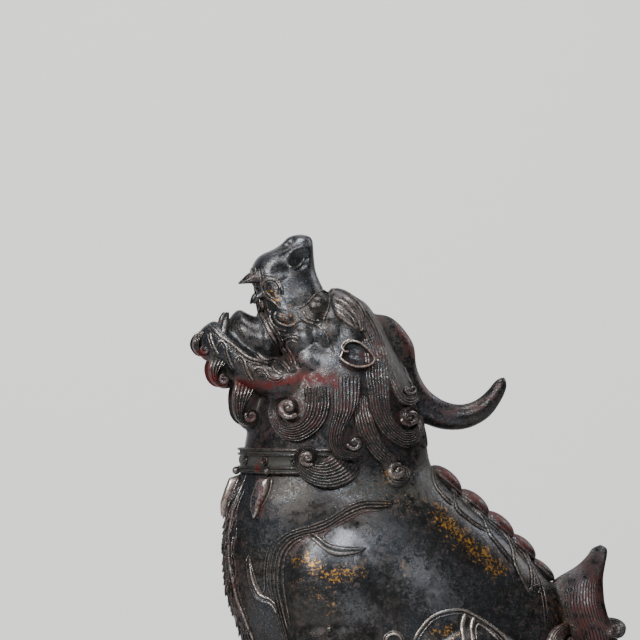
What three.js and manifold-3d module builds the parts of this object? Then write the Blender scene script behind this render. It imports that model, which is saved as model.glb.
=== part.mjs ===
// A seated one-horned guardian lion, cast in bronze, looking up with its mouth open, on a low plinth.
// Millimetres, +Z up. The lion faces -X and its median plane is Y = 0. The origin is at the middle of the
// plinth's underside. Level sections of the body are written [height, front, back, half width].
import * as THREE from "three";
import { mergeVertices } from "three/addons/utils/BufferGeometryUtils.js";
import Module from "manifold-3d";

const wasm = await Module();
wasm.setup();

const PLINTH_LENGTH = 218;
const PLINTH_WIDTH = 132;
const PLINTH_HEIGHT = 12;
const PLINTH_CORNER = 16;
const PLINTH_EDGE = 2;

// One skin from the crown of the head down the neck, chest and barrel to the rump.
const TRUNK = [
  [6, 30, 58, 12], [11.5, 14, 73, 30], [22, 4, 80, 37], [38, -8, 84, 41], [59, -44, 86, 43],
  [78, -67, 86, 45],
  [100, -81.5, 83, 46], [125, -90, 75, 46], [148, -91.5, 55, 43.5], [168, -89.5, 32, 40],
  [184, -83, 14.2, 36.5], [200, -80.5, 9.7, 36.5], [215, -77, 5.8, 36], [230, -71, 2, 34.5],
  [245, -59, -6, 31.5], [259, -53, -14, 27.5], [269, -46, -21, 20], [275, -39, -28, 7],
];
const TRUNK_SIDES = 20;

// The upturned muzzle, from the mouth corner up to the tip of the nose. Its sections are squarish.
const MUZZLE = [
  [234, -54, -32, 22], [247.5, -66, -27, 26], [260, -71, -33, 23.5], [272, -74.5, -40, 20],
  [282, -79.5, -44.5, 17.5], [289, -76.5, -46, 16.5], [296, -68, -46.5, 15], [301.3, -60, -48, 11.5],
  [303, -56, -51, 5],
];
const MUZZLE_FULLNESS = 0.72;
const NOSTRIL = { at: [-55.5, 14.5, 290.5], radii: [4.5, 4, 5.5], tilt: 0.5 };
// The roof of the mouth is hollow between the upper lips.
const PALATE = { at: [-82, 0, 264], radii: [12, 13, 17], tilt: 0.15 };

// Lower jaw and tongue, as upright sections: [x, top, bottom, half width].
const JAW = [
  [-105.5, 252, 248, 4], [-101.5, 257, 243, 9.5], [-94, 253.5, 236, 15.5], [-83, 245, 227, 20],
  [-70, 239, 219, 25], [-54, 244, 216, 28], [-40, 245, 222, 22],
];
const JAW_FULLNESS = 0.8;
const TONGUE = [
  [-93, 257, 250, 5], [-90, 260, 246, 10], [-84, 265.5, 242, 13.5], [-77, 262.5, 238, 16.5],
  [-69, 261, 236, 19], [-58, 254, 234, 20],
];

// Horn centreline in the median plane: [x, z, radius].
const HORN = [
  [-28, 248, 9], [-11, 256, 7.5], [-4, 245.5, 8], [-2, 232, 8], [5, 219.5, 8], [17, 212.3, 7.2],
  [28.5, 211.5, 6.4], [37.5, 215, 5.6], [44.5, 222, 4.3], [48.5, 229, 2.7], [49.5, 231.5, 1],
];

// Limbs: [x, y, z, half length along X, half width].
const FORELEG = [
  [-38, 28, 130, 6, 6], [-33.5, 30, 112, 25, 15], [-35, 31, 93, 23, 16.8], [-37.5, 32, 70, 18, 15.3],
  [-41, 32, 48, 14, 13.5], [-45, 32, 30, 13.5, 13], [-48, 32, 9, 15, 14], [-48, 32, 5, 4, 4],
];
const SHOULDER = { at: [-35, 27, 126], radii: [30, 21, 42], tilt: -0.12 };
const HAUNCH = { at: [25, 32, 65], radii: [37, 25, 48], tilt: 0.1 };
// A paw is one skin with a lobe for each toe: [distance in front of the heel, height, half width].
const PAW = [
  [-2, 9, 7], [2, 15, 10], [11, 18.5, 13], [24, 17, 15], [34, 13.5, 16.5], [42, 10.5, 16.5], [45.5, 6, 15.5],
  [46.5, 3, 12],
];
const TOES = 4;
const CLAW = { length: 5.5, radius: 2 };
const FORE_PAW = { heel: [-37, 32], length: 1 };
const HIND_PAW = { heel: [37, 42], length: 1.3 };

// The collar is a band round the front of the neck, with studs and three drops.
const COLLAR = { x: -40.5, z: 190.5, reach: 42.5, halfWidth: 37.5, height: 12.5, proud: 1.6, rim: 2.4 };
const STUD_STEP = 22;
const STUDS_A_SIDE = 3;
const STUD_RADIUS = 2.1;
const DROP = { length: 13, radius: 3.6, top: 185 };

// Locks of the mane: a band of strands that runs from start, [x, z] on the flank, and winds round centre.
const MANE = [
  { start: [-40, 230], centre: [-61, 216.5], radius: 10.5, turns: 0.95, spin: -1, width: 5.6, count: 3 },
  { start: [-31, 237], centre: [-32.5, 199], radius: 7.2, turns: 0.9, spin: 1, width: 5.2, count: 3 },
  { start: [-25, 189], centre: [-48, 191.5], radius: 10.5, turns: 0.95, spin: -1, width: 5.8, count: 3 },
  { start: [-17, 248], centre: [-6.5, 212], radius: 10, turns: 0.9, spin: 1, width: 6, count: 3 },
  { start: [-11, 245], centre: [-4, 226.5], radius: 4.6, turns: 0.7, spin: 1, width: 2.6, count: 1 },
  { start: [-24, 205], centre: [-9, 184.5], radius: 5.2, turns: 0.9, spin: -1, width: 2.4, count: 1 },
];
const LOCK_HEIGHT = 3.6;
const LOCK_STEPS = 9;
// Curls that hang free below the jaw: the same, with the distance of their middle from the median plane.
const BEARD = [
  { start: [-77, 233], centre: [-78, 213], radius: 7, turns: 0.95, spin: 1, width: 3.2, count: 1, y: 15 },
  { start: [-87, 240], centre: [-93, 231.5], radius: 5.6, turns: 0.95, spin: 1, width: 2.5, count: 1, y: 11 },
  { start: [-99, 253], centre: [-101.3, 245], radius: 3.6, turns: 0.9, spin: 1, width: 1.7, count: 1, y: 8 },
];
// Locks on the back of the neck, on each side of its middle: [distance from the middle, height].
const NAPE = [
  { start: [13, 236], centre: [13, 201], radius: 6, turns: 0.9, spin: 1, width: 2.8, height: 1.4, count: 1 },
  { start: [4, 214], centre: [10, 184], radius: 5, turns: 0.9, spin: -1, width: 2.3, height: 1.4, count: 1 },
];

// The face: a leaf of nested strands over each eye, a lid, a cheek, a crease and a curled ear.
const BROW = [[-38.5, 273], [-33.5, 272], [-28.5, 266], [-24.5, 258], [-21, 248], [-17.5, 237]];
const BROW_SIZE = { width: 5.6, height: 4.2, count: 3 };
const EYE = { at: [-44, 16.5, 266], radii: [5.6, 5.6, 5.6] };
const CHEEK_CREASE = [[-50, 259.5], [-44.5, 254.5], [-38.8, 249.5], [-35.1, 241], [-33.7, 232]];
const CHEEK = { at: [-47, 18, 240], radii: [14, 13, 13] };
const EAR = { at: [-26.5, 31.5, 243], radii: [10, 6, 6.4], tilt: 0.35 };
const LIP = 1.9;
const UPPER_LIP = [
  [-61, 23, 238], [-66.5, 21.5, 247], [-71, 18.5, 259], [-74.5, 15.5, 270], [-79, 11.5, 279], [-81.5, 0, 283],
];
const LOWER_LIP = [
  [-60, 24, 238.5], [-71, 21.5, 240], [-82, 18, 245.5], [-92, 14, 252.5], [-99.5, 8.5, 258], [-103, 0, 258.5],
];
const TUSKS = [
  { at: [-77.5, 10, 281.5], length: 6.5, radius: 2.6, lean: -2.1 },
  { at: [-92, 10, 252.5], length: 9, radius: 2.6, lean: 0.15 },
];
// The scalloped fringe below the lower lip.
const FRINGE = [[-91, 16, 245], [-79, 21.5, 236]];
const FRINGE_LOBE = [7, 3, 7.5];

// Flame ribbons in relief on the shoulder and round the haunch, and the edge of the chest's strip of hair.
const SHOULDER_FLAMES = [
  [[-8, 169.5], [-18, 169], [-27, 167], [-40, 159.5], [-51, 153.5], [-59, 147.5], [-63.3, 139],
    [-64.3, 127.5], [-62.2, 114], [-57.5, 98], [-54, 82]],
  [[-55.6, 154], [-48, 151], [-41.4, 145.5], [-32.6, 144], [-23, 146.5]],
  [[-63, 112.5], [-68.4, 117.5], [-74.5, 119.5], [-78.8, 126], [-81, 135], [-82, 143.5]],
];
const HAUNCH_FLAME = [[-6, 84], [-4, 97], [2, 106], [10.5, 112], [20, 113.5], [30, 111], [39, 105], [47, 94]];
const FLAME = { width: 2.6, height: 2.4 };
const CHEST_EDGE = [[-82.5, 179], [-86.5, 170], [-88.5, 155], [-88.3, 140], [-86.5, 120], [-80.5, 103]];

// Leaf-shaped plates overlap along the spine, from the nape to the tail: heights on the back line.
const SPINE_HEIGHTS = [183, 170.5, 158.5, 146.5, 135];
const SPINE_PLATE = { radii: [9, 9, 5], sink: 0.8 };
const SPINE_LOBE = { out: 9, drop: 7, radii: [11, 3.4, 3.4] };

// The tail: a fluted flame on a bundle of curls, as level sections.
const TAIL = [
  [44, 62, 92, 8], [54, 70, 99, 14], [72, 76, 106, 17.5], [92, 75, 107, 18], [107.5, 75, 104.5, 16],
  [120, 77, 101.5, 12], [130, 81, 101, 9], [138, 88, 101.5, 5.5], [144, 94.5, 101.3, 3], [147.5, 98, 100, 1],
];
const TAIL_FLUTES = 6;
const FLUTE_DEPTH = 0.09;
const TAIL_CURLS = [
  { start: [92, 118], centre: [82, 99], radius: 8.5, turns: 0.95, spin: 1, width: 3.6, count: 1 },
  { start: [104, 96], centre: [98, 108], radius: 4.6, turns: 0.9, spin: 1, width: 2.1, count: 1 },
  { start: [84, 86], centre: [95, 74], radius: 8, turns: 0.9, spin: -1, width: 3.4, count: 1 },
];

// What thinning the joined skin may do: millimetres, square millimetres and how many times over the skin.
const SLACK = 0.35;
const SMALLEST_FACE = 0.001;
const PASSES = 4;

const BRONZE = { color: 0x2b2724, roughness: 0.42, metalness: 0.75 };
const SIDES = [-1, 1];
const bothSides = (make) => SIDES.map((side) => make(side));

// A closed geometry as a solid, whichever way round its faces came out.
function solid(geometry) {
  const bare = geometry.index ? geometry.clone() : mergeVertices(geometry);
  bare.deleteAttribute("normal");
  bare.deleteAttribute("uv");
  const merged = mergeVertices(bare, 1e-4);
  const make = (triVerts) =>
    new wasm.Manifold(new wasm.Mesh({ numProp: 3, vertProperties: merged.attributes.position.array, triVerts }));
  const triVerts = new Uint32Array(merged.index.array);
  const made = make(triVerts);
  if (made.volume() > 0) return made;
  return make(triVerts.map((_, i) => triVerts[i - (i % 3) + [0, 2, 1][i % 3]]));
}

const join = (solids) => solids.reduce((whole, piece) => whole.add(piece));

// Joins leave many small faces. A corner slides into a neighbouring corner where the skin stays closed and
// none of the faces round it moves by more than SLACK or turns over.
function thinned(manifold) {
  const { vertProperties, triVerts } = manifold.getMesh();
  const corners = Array.from({ length: vertProperties.length / 3 }, (_, i) =>
    new THREE.Vector3().fromArray(vertProperties, 3 * i),
  );
  const faces = new Set(Array.from({ length: triVerts.length / 3 }, (_, i) => [...triVerts.slice(3 * i, 3 * i + 3)]));
  const round = corners.map(() => new Set());
  for (const face of faces) face.forEach((corner) => round[corner].add(face));
  const next = (corner) => new Set([...round[corner]].flat().filter((other) => other !== corner));
  const planeOf = (face) => new THREE.Plane().setFromCoplanarPoints(...face.map((corner) => corners[corner]));
  const areaOf = (face) => new THREE.Triangle(...face.map((corner) => corners[corner])).getArea();

  const canSlide = (from, to) => {
    const shared = next(from).intersection(next(to));
    if (shared.size !== 2 || (corners[from].z === PLINTH_HEIGHT && corners[to].z !== PLINTH_HEIGHT)) return false;
    return [...round[from]].filter((face) => !face.includes(to)).every((face) => {
      const moved = face.map((corner) => (corner === from ? to : corner));
      if (areaOf(face) < SMALLEST_FACE) return corners[from].distanceTo(corners[to]) < SLACK;
      const before = planeOf(face);
      if (areaOf(moved) < SMALLEST_FACE || Math.abs(before.distanceToPoint(corners[to])) > SLACK) return false;
      return before.normal.dot(planeOf(moved).normal) > 0.8;
    });
  };

  const slide = (from, to) => {
    for (const face of [...round[from]]) {
      if (face.includes(to)) {
        face.forEach((corner) => round[corner].delete(face));
        faces.delete(face);
      } else {
        face[face.indexOf(from)] = to;
        round[to].add(face);
      }
    }
    round[from].clear();
  };

  for (let pass = 0; pass < PASSES; pass++) {
    for (let from = 0; from < corners.length; from++) {
      const to = [...next(from)].find((corner) => canSlide(from, corner));
      if (to !== undefined) slide(from, to);
    }
  }
  const geometry = new THREE.BufferGeometry();
  const positions = [...faces].flat().flatMap((corner) => corners[corner].toArray());
  return geometry.setAttribute("position", new THREE.Float32BufferAttribute(positions, 3));
}

// Sections are unit outlines, [across, out], that a skin stretches over each of its rings.
const oval = (sides, fullness = 1) =>
  Array.from({ length: sides }, (_, i) => {
    const turn = (2 * Math.PI * i) / sides;
    const swell = (value) => Math.sign(value) * Math.abs(value) ** fullness;
    return [swell(Math.cos(turn)), swell(Math.sin(turn))];
  });

const fluted = (flutes, depth) =>
  oval(2 * flutes).map(([across, out], i) => [across * (1 - depth * (i % 2)), out * (1 - depth * (i % 2))]);

// Lobes side by side over a buried keel, such as strands of hair or toes.
const lobes = (count, groove = 0.45) => [
  ...Array.from({ length: 2 * count + 1 }, (_, i) => {
    const across = 1 - i / count;
    return [across, (i % 2 ? 1 : groove) * Math.sqrt(1 - 0.6 * across ** 2)];
  }),
  [0, -0.9],
];

// A closed skin over rings. Each ring has a middle and two half axes; the first and last close to a point.
function skin(rings, section) {
  const geometry = new THREE.SphereGeometry(1, section.length, rings.length - 1);
  const position = geometry.attributes.position;
  const point = new THREE.Vector3();
  for (let i = 0; i < position.count; i++) {
    const row = Math.floor(i / (section.length + 1));
    const { middle, across, out } = rings[row];
    const [a, b] = section[(i % (section.length + 1)) % section.length];
    point.copy(middle);
    if (row > 0 && row < rings.length - 1) point.addScaledVector(across, a).addScaledVector(out, b);
    position.setXYZ(i, point.x, point.y, point.z);
  }
  return solid(geometry);
}

const levelRings = (stations) =>
  stations.map(([z, front, back, halfWidth]) => ({
    middle: new THREE.Vector3((front + back) / 2, 0, z),
    across: new THREE.Vector3((back - front) / 2, 0, 0),
    out: new THREE.Vector3(0, halfWidth, 0),
  }));

const uprightRings = (stations) =>
  stations.map(([x, top, bottom, halfWidth]) => ({
    middle: new THREE.Vector3(x, 0, (top + bottom) / 2),
    across: new THREE.Vector3(0, 0, (top - bottom) / 2),
    out: new THREE.Vector3(0, halfWidth, 0),
  }));

const limbRings = (stations, side) =>
  stations.map(([x, y, z, along, halfWidth]) => ({
    middle: new THREE.Vector3(x, side * y, z),
    across: new THREE.Vector3(along, 0, 0),
    out: new THREE.Vector3(0, halfWidth, 0),
  }));

// An ellipsoid on one side of the median plane, tipped in the plane of the profile.
function ball({ at: [x, y, z], radii, tilt = 0 }, side, wide = 10, high = 6) {
  const geometry = new THREE.SphereGeometry(1, wide, high);
  geometry.rotateX(Math.PI / 2).scale(...radii).rotateY(tilt).translate(x, side * y, z);
  return solid(geometry);
}

const pair = (shape, wide, high) => bothSides((side) => ball(shape, side, wide, high));

// A tapered bar along points that lie on a surface, whose outward normals are given.
function bar(points, normals, width, height, section) {
  const tangent = new THREE.Vector3();
  const rings = points.map((middle, i) => {
    tangent.subVectors(points[Math.min(i + 1, points.length - 1)], points[Math.max(i - 1, 0)]).normalize();
    const across = new THREE.Vector3().crossVectors(tangent, normals[i]).normalize();
    return {
      middle,
      across: across.multiplyScalar(width(i / (points.length - 1))),
      out: normals[i].clone().multiplyScalar(height(i / (points.length - 1))),
    };
  });
  return skin(rings, section);
}

// The section of a stack of level stations at height z.
function sectionAt(stations, z) {
  const last = stations.length - 2;
  const i = Math.min(last, Math.max(0, stations.findIndex((s) => s[0] > z) - 1));
  const t = (z - stations[i][0]) / (stations[i + 1][0] - stations[i][0]);
  return stations[i].map((value, k) => value + t * (stations[i + 1][k] - value));
}

// How far out the flank lies at x, z, for a stack of stations with ellipsoids on it.
function flankAt(stations, swells, x, z) {
  const [, front, back, halfWidth] = sectionAt(stations, z);
  const u = (x - (front + back) / 2) / ((back - front) / 2);
  let y = halfWidth * Math.sqrt(Math.max(0.02, 1 - u * u));
  for (const { at, radii } of swells) {
    const rest = 1 - ((x - at[0]) / radii[0]) ** 2 - ((z - at[2]) / radii[2]) ** 2;
    if (rest > 0) y = Math.max(y, at[1] + radii[1] * Math.sqrt(rest));
  }
  return y;
}

// Points [x, z] laid on one flank, with the outward normals there.
function layOnFlank(outline, stations, swells, side, step = 3) {
  const y = (x, z) => flankAt(stations, swells, x, z);
  const points = outline.map(([x, z]) => new THREE.Vector3(x, side * y(x, z), z));
  const normals = outline.map(([x, z]) => {
    const slopeX = (y(x + step, z) - y(x - step, z)) / (2 * step);
    const slopeZ = (y(x, z + step) - y(x, z - step)) / (2 * step);
    return new THREE.Vector3(-slopeX, side, -slopeZ).normalize();
  });
  return { points, normals };
}

// Points [distance from the middle, z] laid on the back of the neck.
function layOnNape(outline, side) {
  const points = [];
  const normals = [];
  for (const [along, z] of outline) {
    const [, front, back, halfWidth] = sectionAt(TRUNK, z);
    const turn = (side * along) / halfWidth;
    const reach = (back - front) / 2;
    points.push(new THREE.Vector3(back - reach * (1 - Math.cos(turn)), halfWidth * Math.sin(turn), z));
    normals.push(new THREE.Vector3(Math.cos(turn) / reach, Math.sin(turn) / halfWidth, 0).normalize());
  }
  return { points, normals };
}

// A strand from start that meets its circle along a tangent and winds into the middle, as [x, z] points.
function lockOutline({ start, centre, radius, turns, spin }) {
  const offset = [start[0] - centre[0], start[1] - centre[1]];
  const reach = Math.max(Math.hypot(...offset), radius * 1.05);
  const touch = Math.atan2(offset[1], offset[0]) + spin * Math.acos(radius / reach);
  const first = [centre[0] + radius * Math.cos(touch), centre[1] + radius * Math.sin(touch)];
  const outline = [start, [(start[0] + first[0]) / 2, (start[1] + first[1]) / 2]];
  for (let i = 0; i <= LOCK_STEPS; i++) {
    const t = i / LOCK_STEPS;
    const angle = touch + spin * turns * 2 * Math.PI * t;
    const r = radius * (1 - 0.72 * t);
    outline.push([centre[0] + r * Math.cos(angle), centre[1] + r * Math.sin(angle)]);
  }
  return outline;
}

const taperIn = (size) => (t) => size * (t < 0.2 ? 0.75 + 1.25 * t : 1 - 0.75 * (t - 0.2));
const rise = (size) => (t) => size * (t < 0.1 ? 0.3 + 7 * t : 1 + 0.3 * t);

// A band of strands that ends in a knob.
function band({ points, normals }, { width, count, height = Math.min(LOCK_HEIGHT, width * 1.2) }) {
  const knob = new THREE.OctahedronGeometry(width * 0.75 + 0.6);
  knob.translate(...points.at(-1).clone().addScaledVector(normals.at(-1), height * 0.5).toArray());
  return bar(points, normals, taperIn(width), rise(height), lobes(count)).add(solid(knob));
}

const lock = (shape, stations, side) => band(layOnFlank(lockOutline(shape), stations, [], side), shape);

const napeLock = (shape, side) => band(layOnNape(lockOutline(shape), side), shape);

function hangingCurl(shape, side) {
  const points = lockOutline(shape).map(([x, z]) => new THREE.Vector3(x, side * shape.y, z));
  return band({ points, normals: points.map(() => new THREE.Vector3(0, side, 0)) }, shape);
}

function paw({ heel: [heelX, y], length }, side) {
  const rings = PAW.map(([ahead, height, halfWidth]) => ({
    middle: new THREE.Vector3(heelX - ahead * length, side * y, PLINTH_HEIGHT + 0.5),
    across: new THREE.Vector3(0, halfWidth, 0),
    out: new THREE.Vector3(0, 0, height),
  }));
  const pieces = [skin(rings, lobes(TOES, 0.7))];
  const [tip, , halfWidth] = PAW.at(-1);
  for (let i = 0; i < TOES; i++) {
    const aside = ((i + 0.5) / TOES) * 2 - 1;
    const claw = new THREE.ConeGeometry(CLAW.radius, CLAW.length, 4);
    claw.rotateZ(Math.PI / 2).rotateY(-0.3);
    claw.translate(heelX - tip * length, side * y + aside * halfWidth * 1.2, PLINTH_HEIGHT + 2.6);
    pieces.push(solid(claw));
  }
  return join(pieces);
}

function ear(side) {
  const { at: [x, y, z], radii, tilt } = EAR;
  const hollow = { at: [x - 0.5, y + radii[1] * 0.8, z], radii: radii.map((r) => r * 0.8), tilt };
  return ball(EAR, side, 10, 5).subtract(ball(hollow, side, 8, 4));
}

function tusk({ at: [x, y, z], length, radius, lean }, side) {
  const geometry = new THREE.ConeGeometry(radius, length, 4);
  geometry.translate(0, length / 2, 0).rotateX(Math.PI / 2).rotateY(lean).translate(x, side * y, z);
  return solid(geometry);
}

// A lip follows the edge of the mouth from one corner round the front to the other.
function lip(half) {
  const points = [...half, ...half.slice(0, -1).reverse().map(([x, y, z]) => [x, -y, z])];
  const route = points.map((p) => new THREE.Vector3(...p));
  const normals = route.map((p) => new THREE.Vector3(p.x + 50, p.y, 0).normalize());
  return bar(route, normals, () => LIP, () => LIP, oval(5));
}

function crease(outline, stations, swells, side, width) {
  const { points, normals } = layOnFlank(outline, stations, swells, side);
  return bar(points, normals, () => width, () => width, oval(4));
}

function collar() {
  const { x, z, reach, halfWidth, height, proud, rim } = COLLAR;
  const half = height / 2;
  const edge = proud / reach;
  const profile = [[0.88, -half], [1 + edge, -half], [1 + edge, rim - half], [1, rim - half],
    [1, half - rim], [1 + edge, half - rim], [1 + edge, half], [0.88, half], [0.88, -half]];
  const hoop = new THREE.LatheGeometry(profile.map(([r, h]) => new THREE.Vector2(r, h)), 20);
  hoop.rotateX(Math.PI / 2).scale(reach, halfWidth, 1).translate(x, 0, z);
  const pieces = [solid(hoop)];
  const onHoop = (degrees, out) => {
    const angle = THREE.MathUtils.degToRad(degrees);
    return [x - (reach + out) * Math.cos(angle), (halfWidth + out) * Math.sin(angle)];
  };
  for (let i = -STUDS_A_SIDE; i <= STUDS_A_SIDE; i++) {
    const stud = new THREE.OctahedronGeometry(STUD_RADIUS);
    pieces.push(solid(stud.translate(...onHoop(i * STUD_STEP, 0.6), z)));
  }
  for (const degrees of [-2 * STUD_STEP, 0, 2 * STUD_STEP]) {
    const profileOfDrop = [[0, 0], [0.5, -0.06], [0.4, -0.14], [1, -0.45], [0.7, -0.72], [0, -1]];
    const drop = new THREE.LatheGeometry(
      profileOfDrop.map(([r, h]) => new THREE.Vector2(r * DROP.radius, h * DROP.length)),
      6,
    );
    pieces.push(solid(drop.rotateX(Math.PI / 2).translate(...onHoop(degrees, 2.2), DROP.top)));
  }
  return join(pieces);
}

// One plate of the spine, with a pointed lobe that trails down each side of it.
function spinePlate(z) {
  const [, , back] = sectionAt(TRUNK, z);
  const [, , above] = sectionAt(TRUNK, z + 6);
  const [, , below] = sectionAt(TRUNK, z - 6);
  const tilt = Math.atan2(12, below - above);
  const { radii, sink } = SPINE_PLATE;
  const at = [back - sink * Math.sin(tilt), 0, z - sink * Math.cos(tilt)];
  const { out, drop, radii: lobeRadii } = SPINE_LOBE;
  const lobe = { at: [at[0] - drop * 0.35, out, z - drop], radii: lobeRadii, tilt };
  return [ball({ at, radii, tilt }, 1, 8, 5), ...pair(lobe, 5, 3)];
}

const bodySwells = [SHOULDER, HAUNCH];

function flame(outline, side, scale = 1) {
  const { points, normals } = layOnFlank(outline, TRUNK, bodySwells, side);
  const taper = (size) => (t) => size * scale * Math.min(1, 0.3 + 3 * t, 0.3 + 3 * (1 - t));
  return bar(points, normals, taper(FLAME.width), taper(FLAME.height), lobes(2));
}

function hornRings() {
  return HORN.map(([x, z, radius], i) => {
    const [fromX, fromZ] = HORN[Math.max(0, i - 1)];
    const [toX, toZ] = HORN[Math.min(HORN.length - 1, i + 1)];
    const along = new THREE.Vector2(toX - fromX, toZ - fromZ).normalize();
    return {
      middle: new THREE.Vector3(x, 0, z),
      across: new THREE.Vector3(along.y * radius, 0, -along.x * radius),
      out: new THREE.Vector3(0, radius * 0.95, 0),
    };
  });
}

function brow(side) {
  const { points, normals } = layOnFlank(BROW, TRUNK, [], side);
  const taper = (size) => (t) => size * (1 - 0.35 * t);
  const { width, height, count } = BROW_SIZE;
  return bar(points, normals, taper(width), taper(height), lobes(count));
}

function head() {
  const hollows = [ball(PALATE, 1, 8, 6), ...pair(NOSTRIL, 7, 4)];
  const muzzle = hollows.reduce(
    (whole, hollow) => whole.subtract(hollow),
    skin(levelRings(MUZZLE), oval(14, MUZZLE_FULLNESS)),
  );
  return join([
    muzzle,
    skin(uprightRings(JAW), oval(10, JAW_FULLNESS)),
    skin(uprightRings(TONGUE), oval(7)),
    skin(hornRings(), oval(8)),
    lip(UPPER_LIP),
    lip(LOWER_LIP),
    ...pair(EYE, 8, 5),
    ...pair(CHEEK, 8, 6),
    ...FRINGE.flatMap((at) => pair({ at, radii: FRINGE_LOBE, tilt: 0.5 }, 5, 4)),
    ...TUSKS.flatMap((shape) => bothSides((side) => tusk(shape, side))),
    ...bothSides(brow),
    ...bothSides(ear),
    ...bothSides((side) => crease(CHEEK_CREASE, TRUNK, [CHEEK], side, 1.6)),
  ]);
}

function lion() {
  const pieces = [
    skin(levelRings(TRUNK), oval(TRUNK_SIDES)),
    head(),
    collar(),
    skin(levelRings(TAIL), fluted(TAIL_FLUTES, FLUTE_DEPTH)),
    ...pair(SHOULDER, 12, 8),
    ...pair(HAUNCH, 14, 9),
    ...bothSides((side) => skin(limbRings(FORELEG, side), oval(8))),
    ...[FORE_PAW, HIND_PAW].flatMap((shape) => bothSides((side) => paw(shape, side))),
    ...MANE.flatMap((shape) => bothSides((side) => lock(shape, TRUNK, side))),
    ...NAPE.flatMap((shape) => bothSides((side) => napeLock(shape, side))),
    ...BEARD.flatMap((shape) => bothSides((side) => hangingCurl(shape, side))),
    ...TAIL_CURLS.flatMap((shape) => bothSides((side) => lock(shape, TAIL, side))),
    ...SHOULDER_FLAMES.flatMap((outline) => bothSides((side) => flame(outline, side))),
    ...bothSides((side) => flame(HAUNCH_FLAME, side, 1.2)),
    ...bothSides((side) => crease(CHEST_EDGE, TRUNK, [], side, 1.4)),
    ...SPINE_HEIGHTS.flatMap(spinePlate),
  ];
  const below = new THREE.BoxGeometry(2 * PLINTH_LENGTH, 2 * PLINTH_WIDTH, 2 * PLINTH_HEIGHT);
  return join(pieces).subtract(solid(below));
}

function plinth() {
  const outline = new THREE.Shape();
  const corners = [[1, -1], [1, 1], [-1, 1], [-1, -1]];
  corners.forEach(([sideX, sideY], i) => {
    const from = -Math.PI / 2 + (i * Math.PI) / 2;
    const x = sideX * (PLINTH_LENGTH / 2 - PLINTH_CORNER);
    const y = sideY * (PLINTH_WIDTH / 2 - PLINTH_CORNER);
    outline.absarc(x, y, PLINTH_CORNER - PLINTH_EDGE, from, from + Math.PI / 2, false);
  });
  const geometry = new THREE.ExtrudeGeometry(outline, {
    depth: PLINTH_HEIGHT - 2 * PLINTH_EDGE,
    bevelThickness: PLINTH_EDGE,
    bevelSize: PLINTH_EDGE,
    bevelSegments: 2,
    curveSegments: 4,
  });
  return geometry.translate(0, 0, PLINTH_EDGE);
}

const root = new THREE.Group();
for (const [name, geometry] of [["lion", thinned(lion())], ["plinth", plinth()]]) {
  const mesh = new THREE.Mesh(geometry, new THREE.MeshStandardMaterial(BRONZE));
  mesh.name = name;
  root.add(mesh);
}

export default root;
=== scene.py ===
"""A seated one-horned guardian lion in patinated, once gilt bronze, looking up, on a low plinth.

Shapes are worked out in millimetres and made in metres. The lion faces -X and its median plane is Y = 0.
Carving is drawn in the plane of the main view, as [across, up], laid on the near flank along the line of
sight, and mirrored to the far flank."""

import math

import bmesh
import bpy
import numpy as np
from mathutils import Matrix, Vector
from mathutils.bvhtree import BVHTree


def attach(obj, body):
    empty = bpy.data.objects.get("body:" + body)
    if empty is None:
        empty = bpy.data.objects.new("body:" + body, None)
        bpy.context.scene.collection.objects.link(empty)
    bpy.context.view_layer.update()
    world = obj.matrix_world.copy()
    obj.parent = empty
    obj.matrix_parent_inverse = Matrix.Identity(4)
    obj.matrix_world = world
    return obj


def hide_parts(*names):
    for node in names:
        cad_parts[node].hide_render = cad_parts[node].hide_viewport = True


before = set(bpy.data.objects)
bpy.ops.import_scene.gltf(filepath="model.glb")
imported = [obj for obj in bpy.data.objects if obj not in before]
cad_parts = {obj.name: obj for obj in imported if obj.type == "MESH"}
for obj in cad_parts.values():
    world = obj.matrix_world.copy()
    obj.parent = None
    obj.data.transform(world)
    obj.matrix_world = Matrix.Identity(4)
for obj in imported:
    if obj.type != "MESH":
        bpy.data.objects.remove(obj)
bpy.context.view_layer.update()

MM = 0.001
SIDES = (-1, 1)

# Directions in the main view.
VIEW_AZIMUTH = math.radians(-6)
RIGHT = np.array([math.cos(VIEW_AZIMUTH), math.sin(VIEW_AZIMUTH), 0])
TO_VIEWER = np.array([math.sin(VIEW_AZIMUTH), -math.cos(VIEW_AZIMUTH), 0])
UP = np.array([0, 0, 1.0])

# Level sections of the body and the muzzle: [height, front, back, half width].
TRUNK = [
    [6, 30, 58, 12], [11.5, 14, 73, 30], [22, 4, 80, 37], [38, -8, 84, 41], [59, -44, 86, 43],
    [78, -67, 86, 45], [100, -81.5, 83, 46], [125, -90, 75, 46], [148, -91.5, 55, 43.5],
    [168, -89.5, 32, 40], [184, -83, 14.2, 36.5], [200, -80.5, 9.7, 36.5], [215, -77, 5.8, 36],
    [230, -71, 2, 34.5], [245, -59, -6, 31.5], [259, -53, -14, 27.5], [269, -46, -21, 20],
    [275, -39, -28, 7],
]
# The trunk's row at the collar, and the height under the collar where body and head meet.
COLLAR_ROW = 10
SEAM = 190
MUZZLE = [
    [232, -52, -32, 16], [240, -60, -30, 25], [247.5, -65.5, -27, 26], [260, -70.5, -33, 23],
    [272, -74, -40, 19.5], [279, -77, -43.5, 17.5], [284, -78, -45.5, 16.5], [289, -76, -46.3, 16],
    [292.5, -72.8, -46.6, 15.3], [295.5, -66.2, -46.8, 14.6], [298.5, -62, -47, 13],
    [301.5, -58.8, -48.2, 10], [303, -55.5, -51, 4],
]
# Below 1, a section is fuller than an ellipse.
MUZZLE_FULLNESS = 0.78

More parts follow.
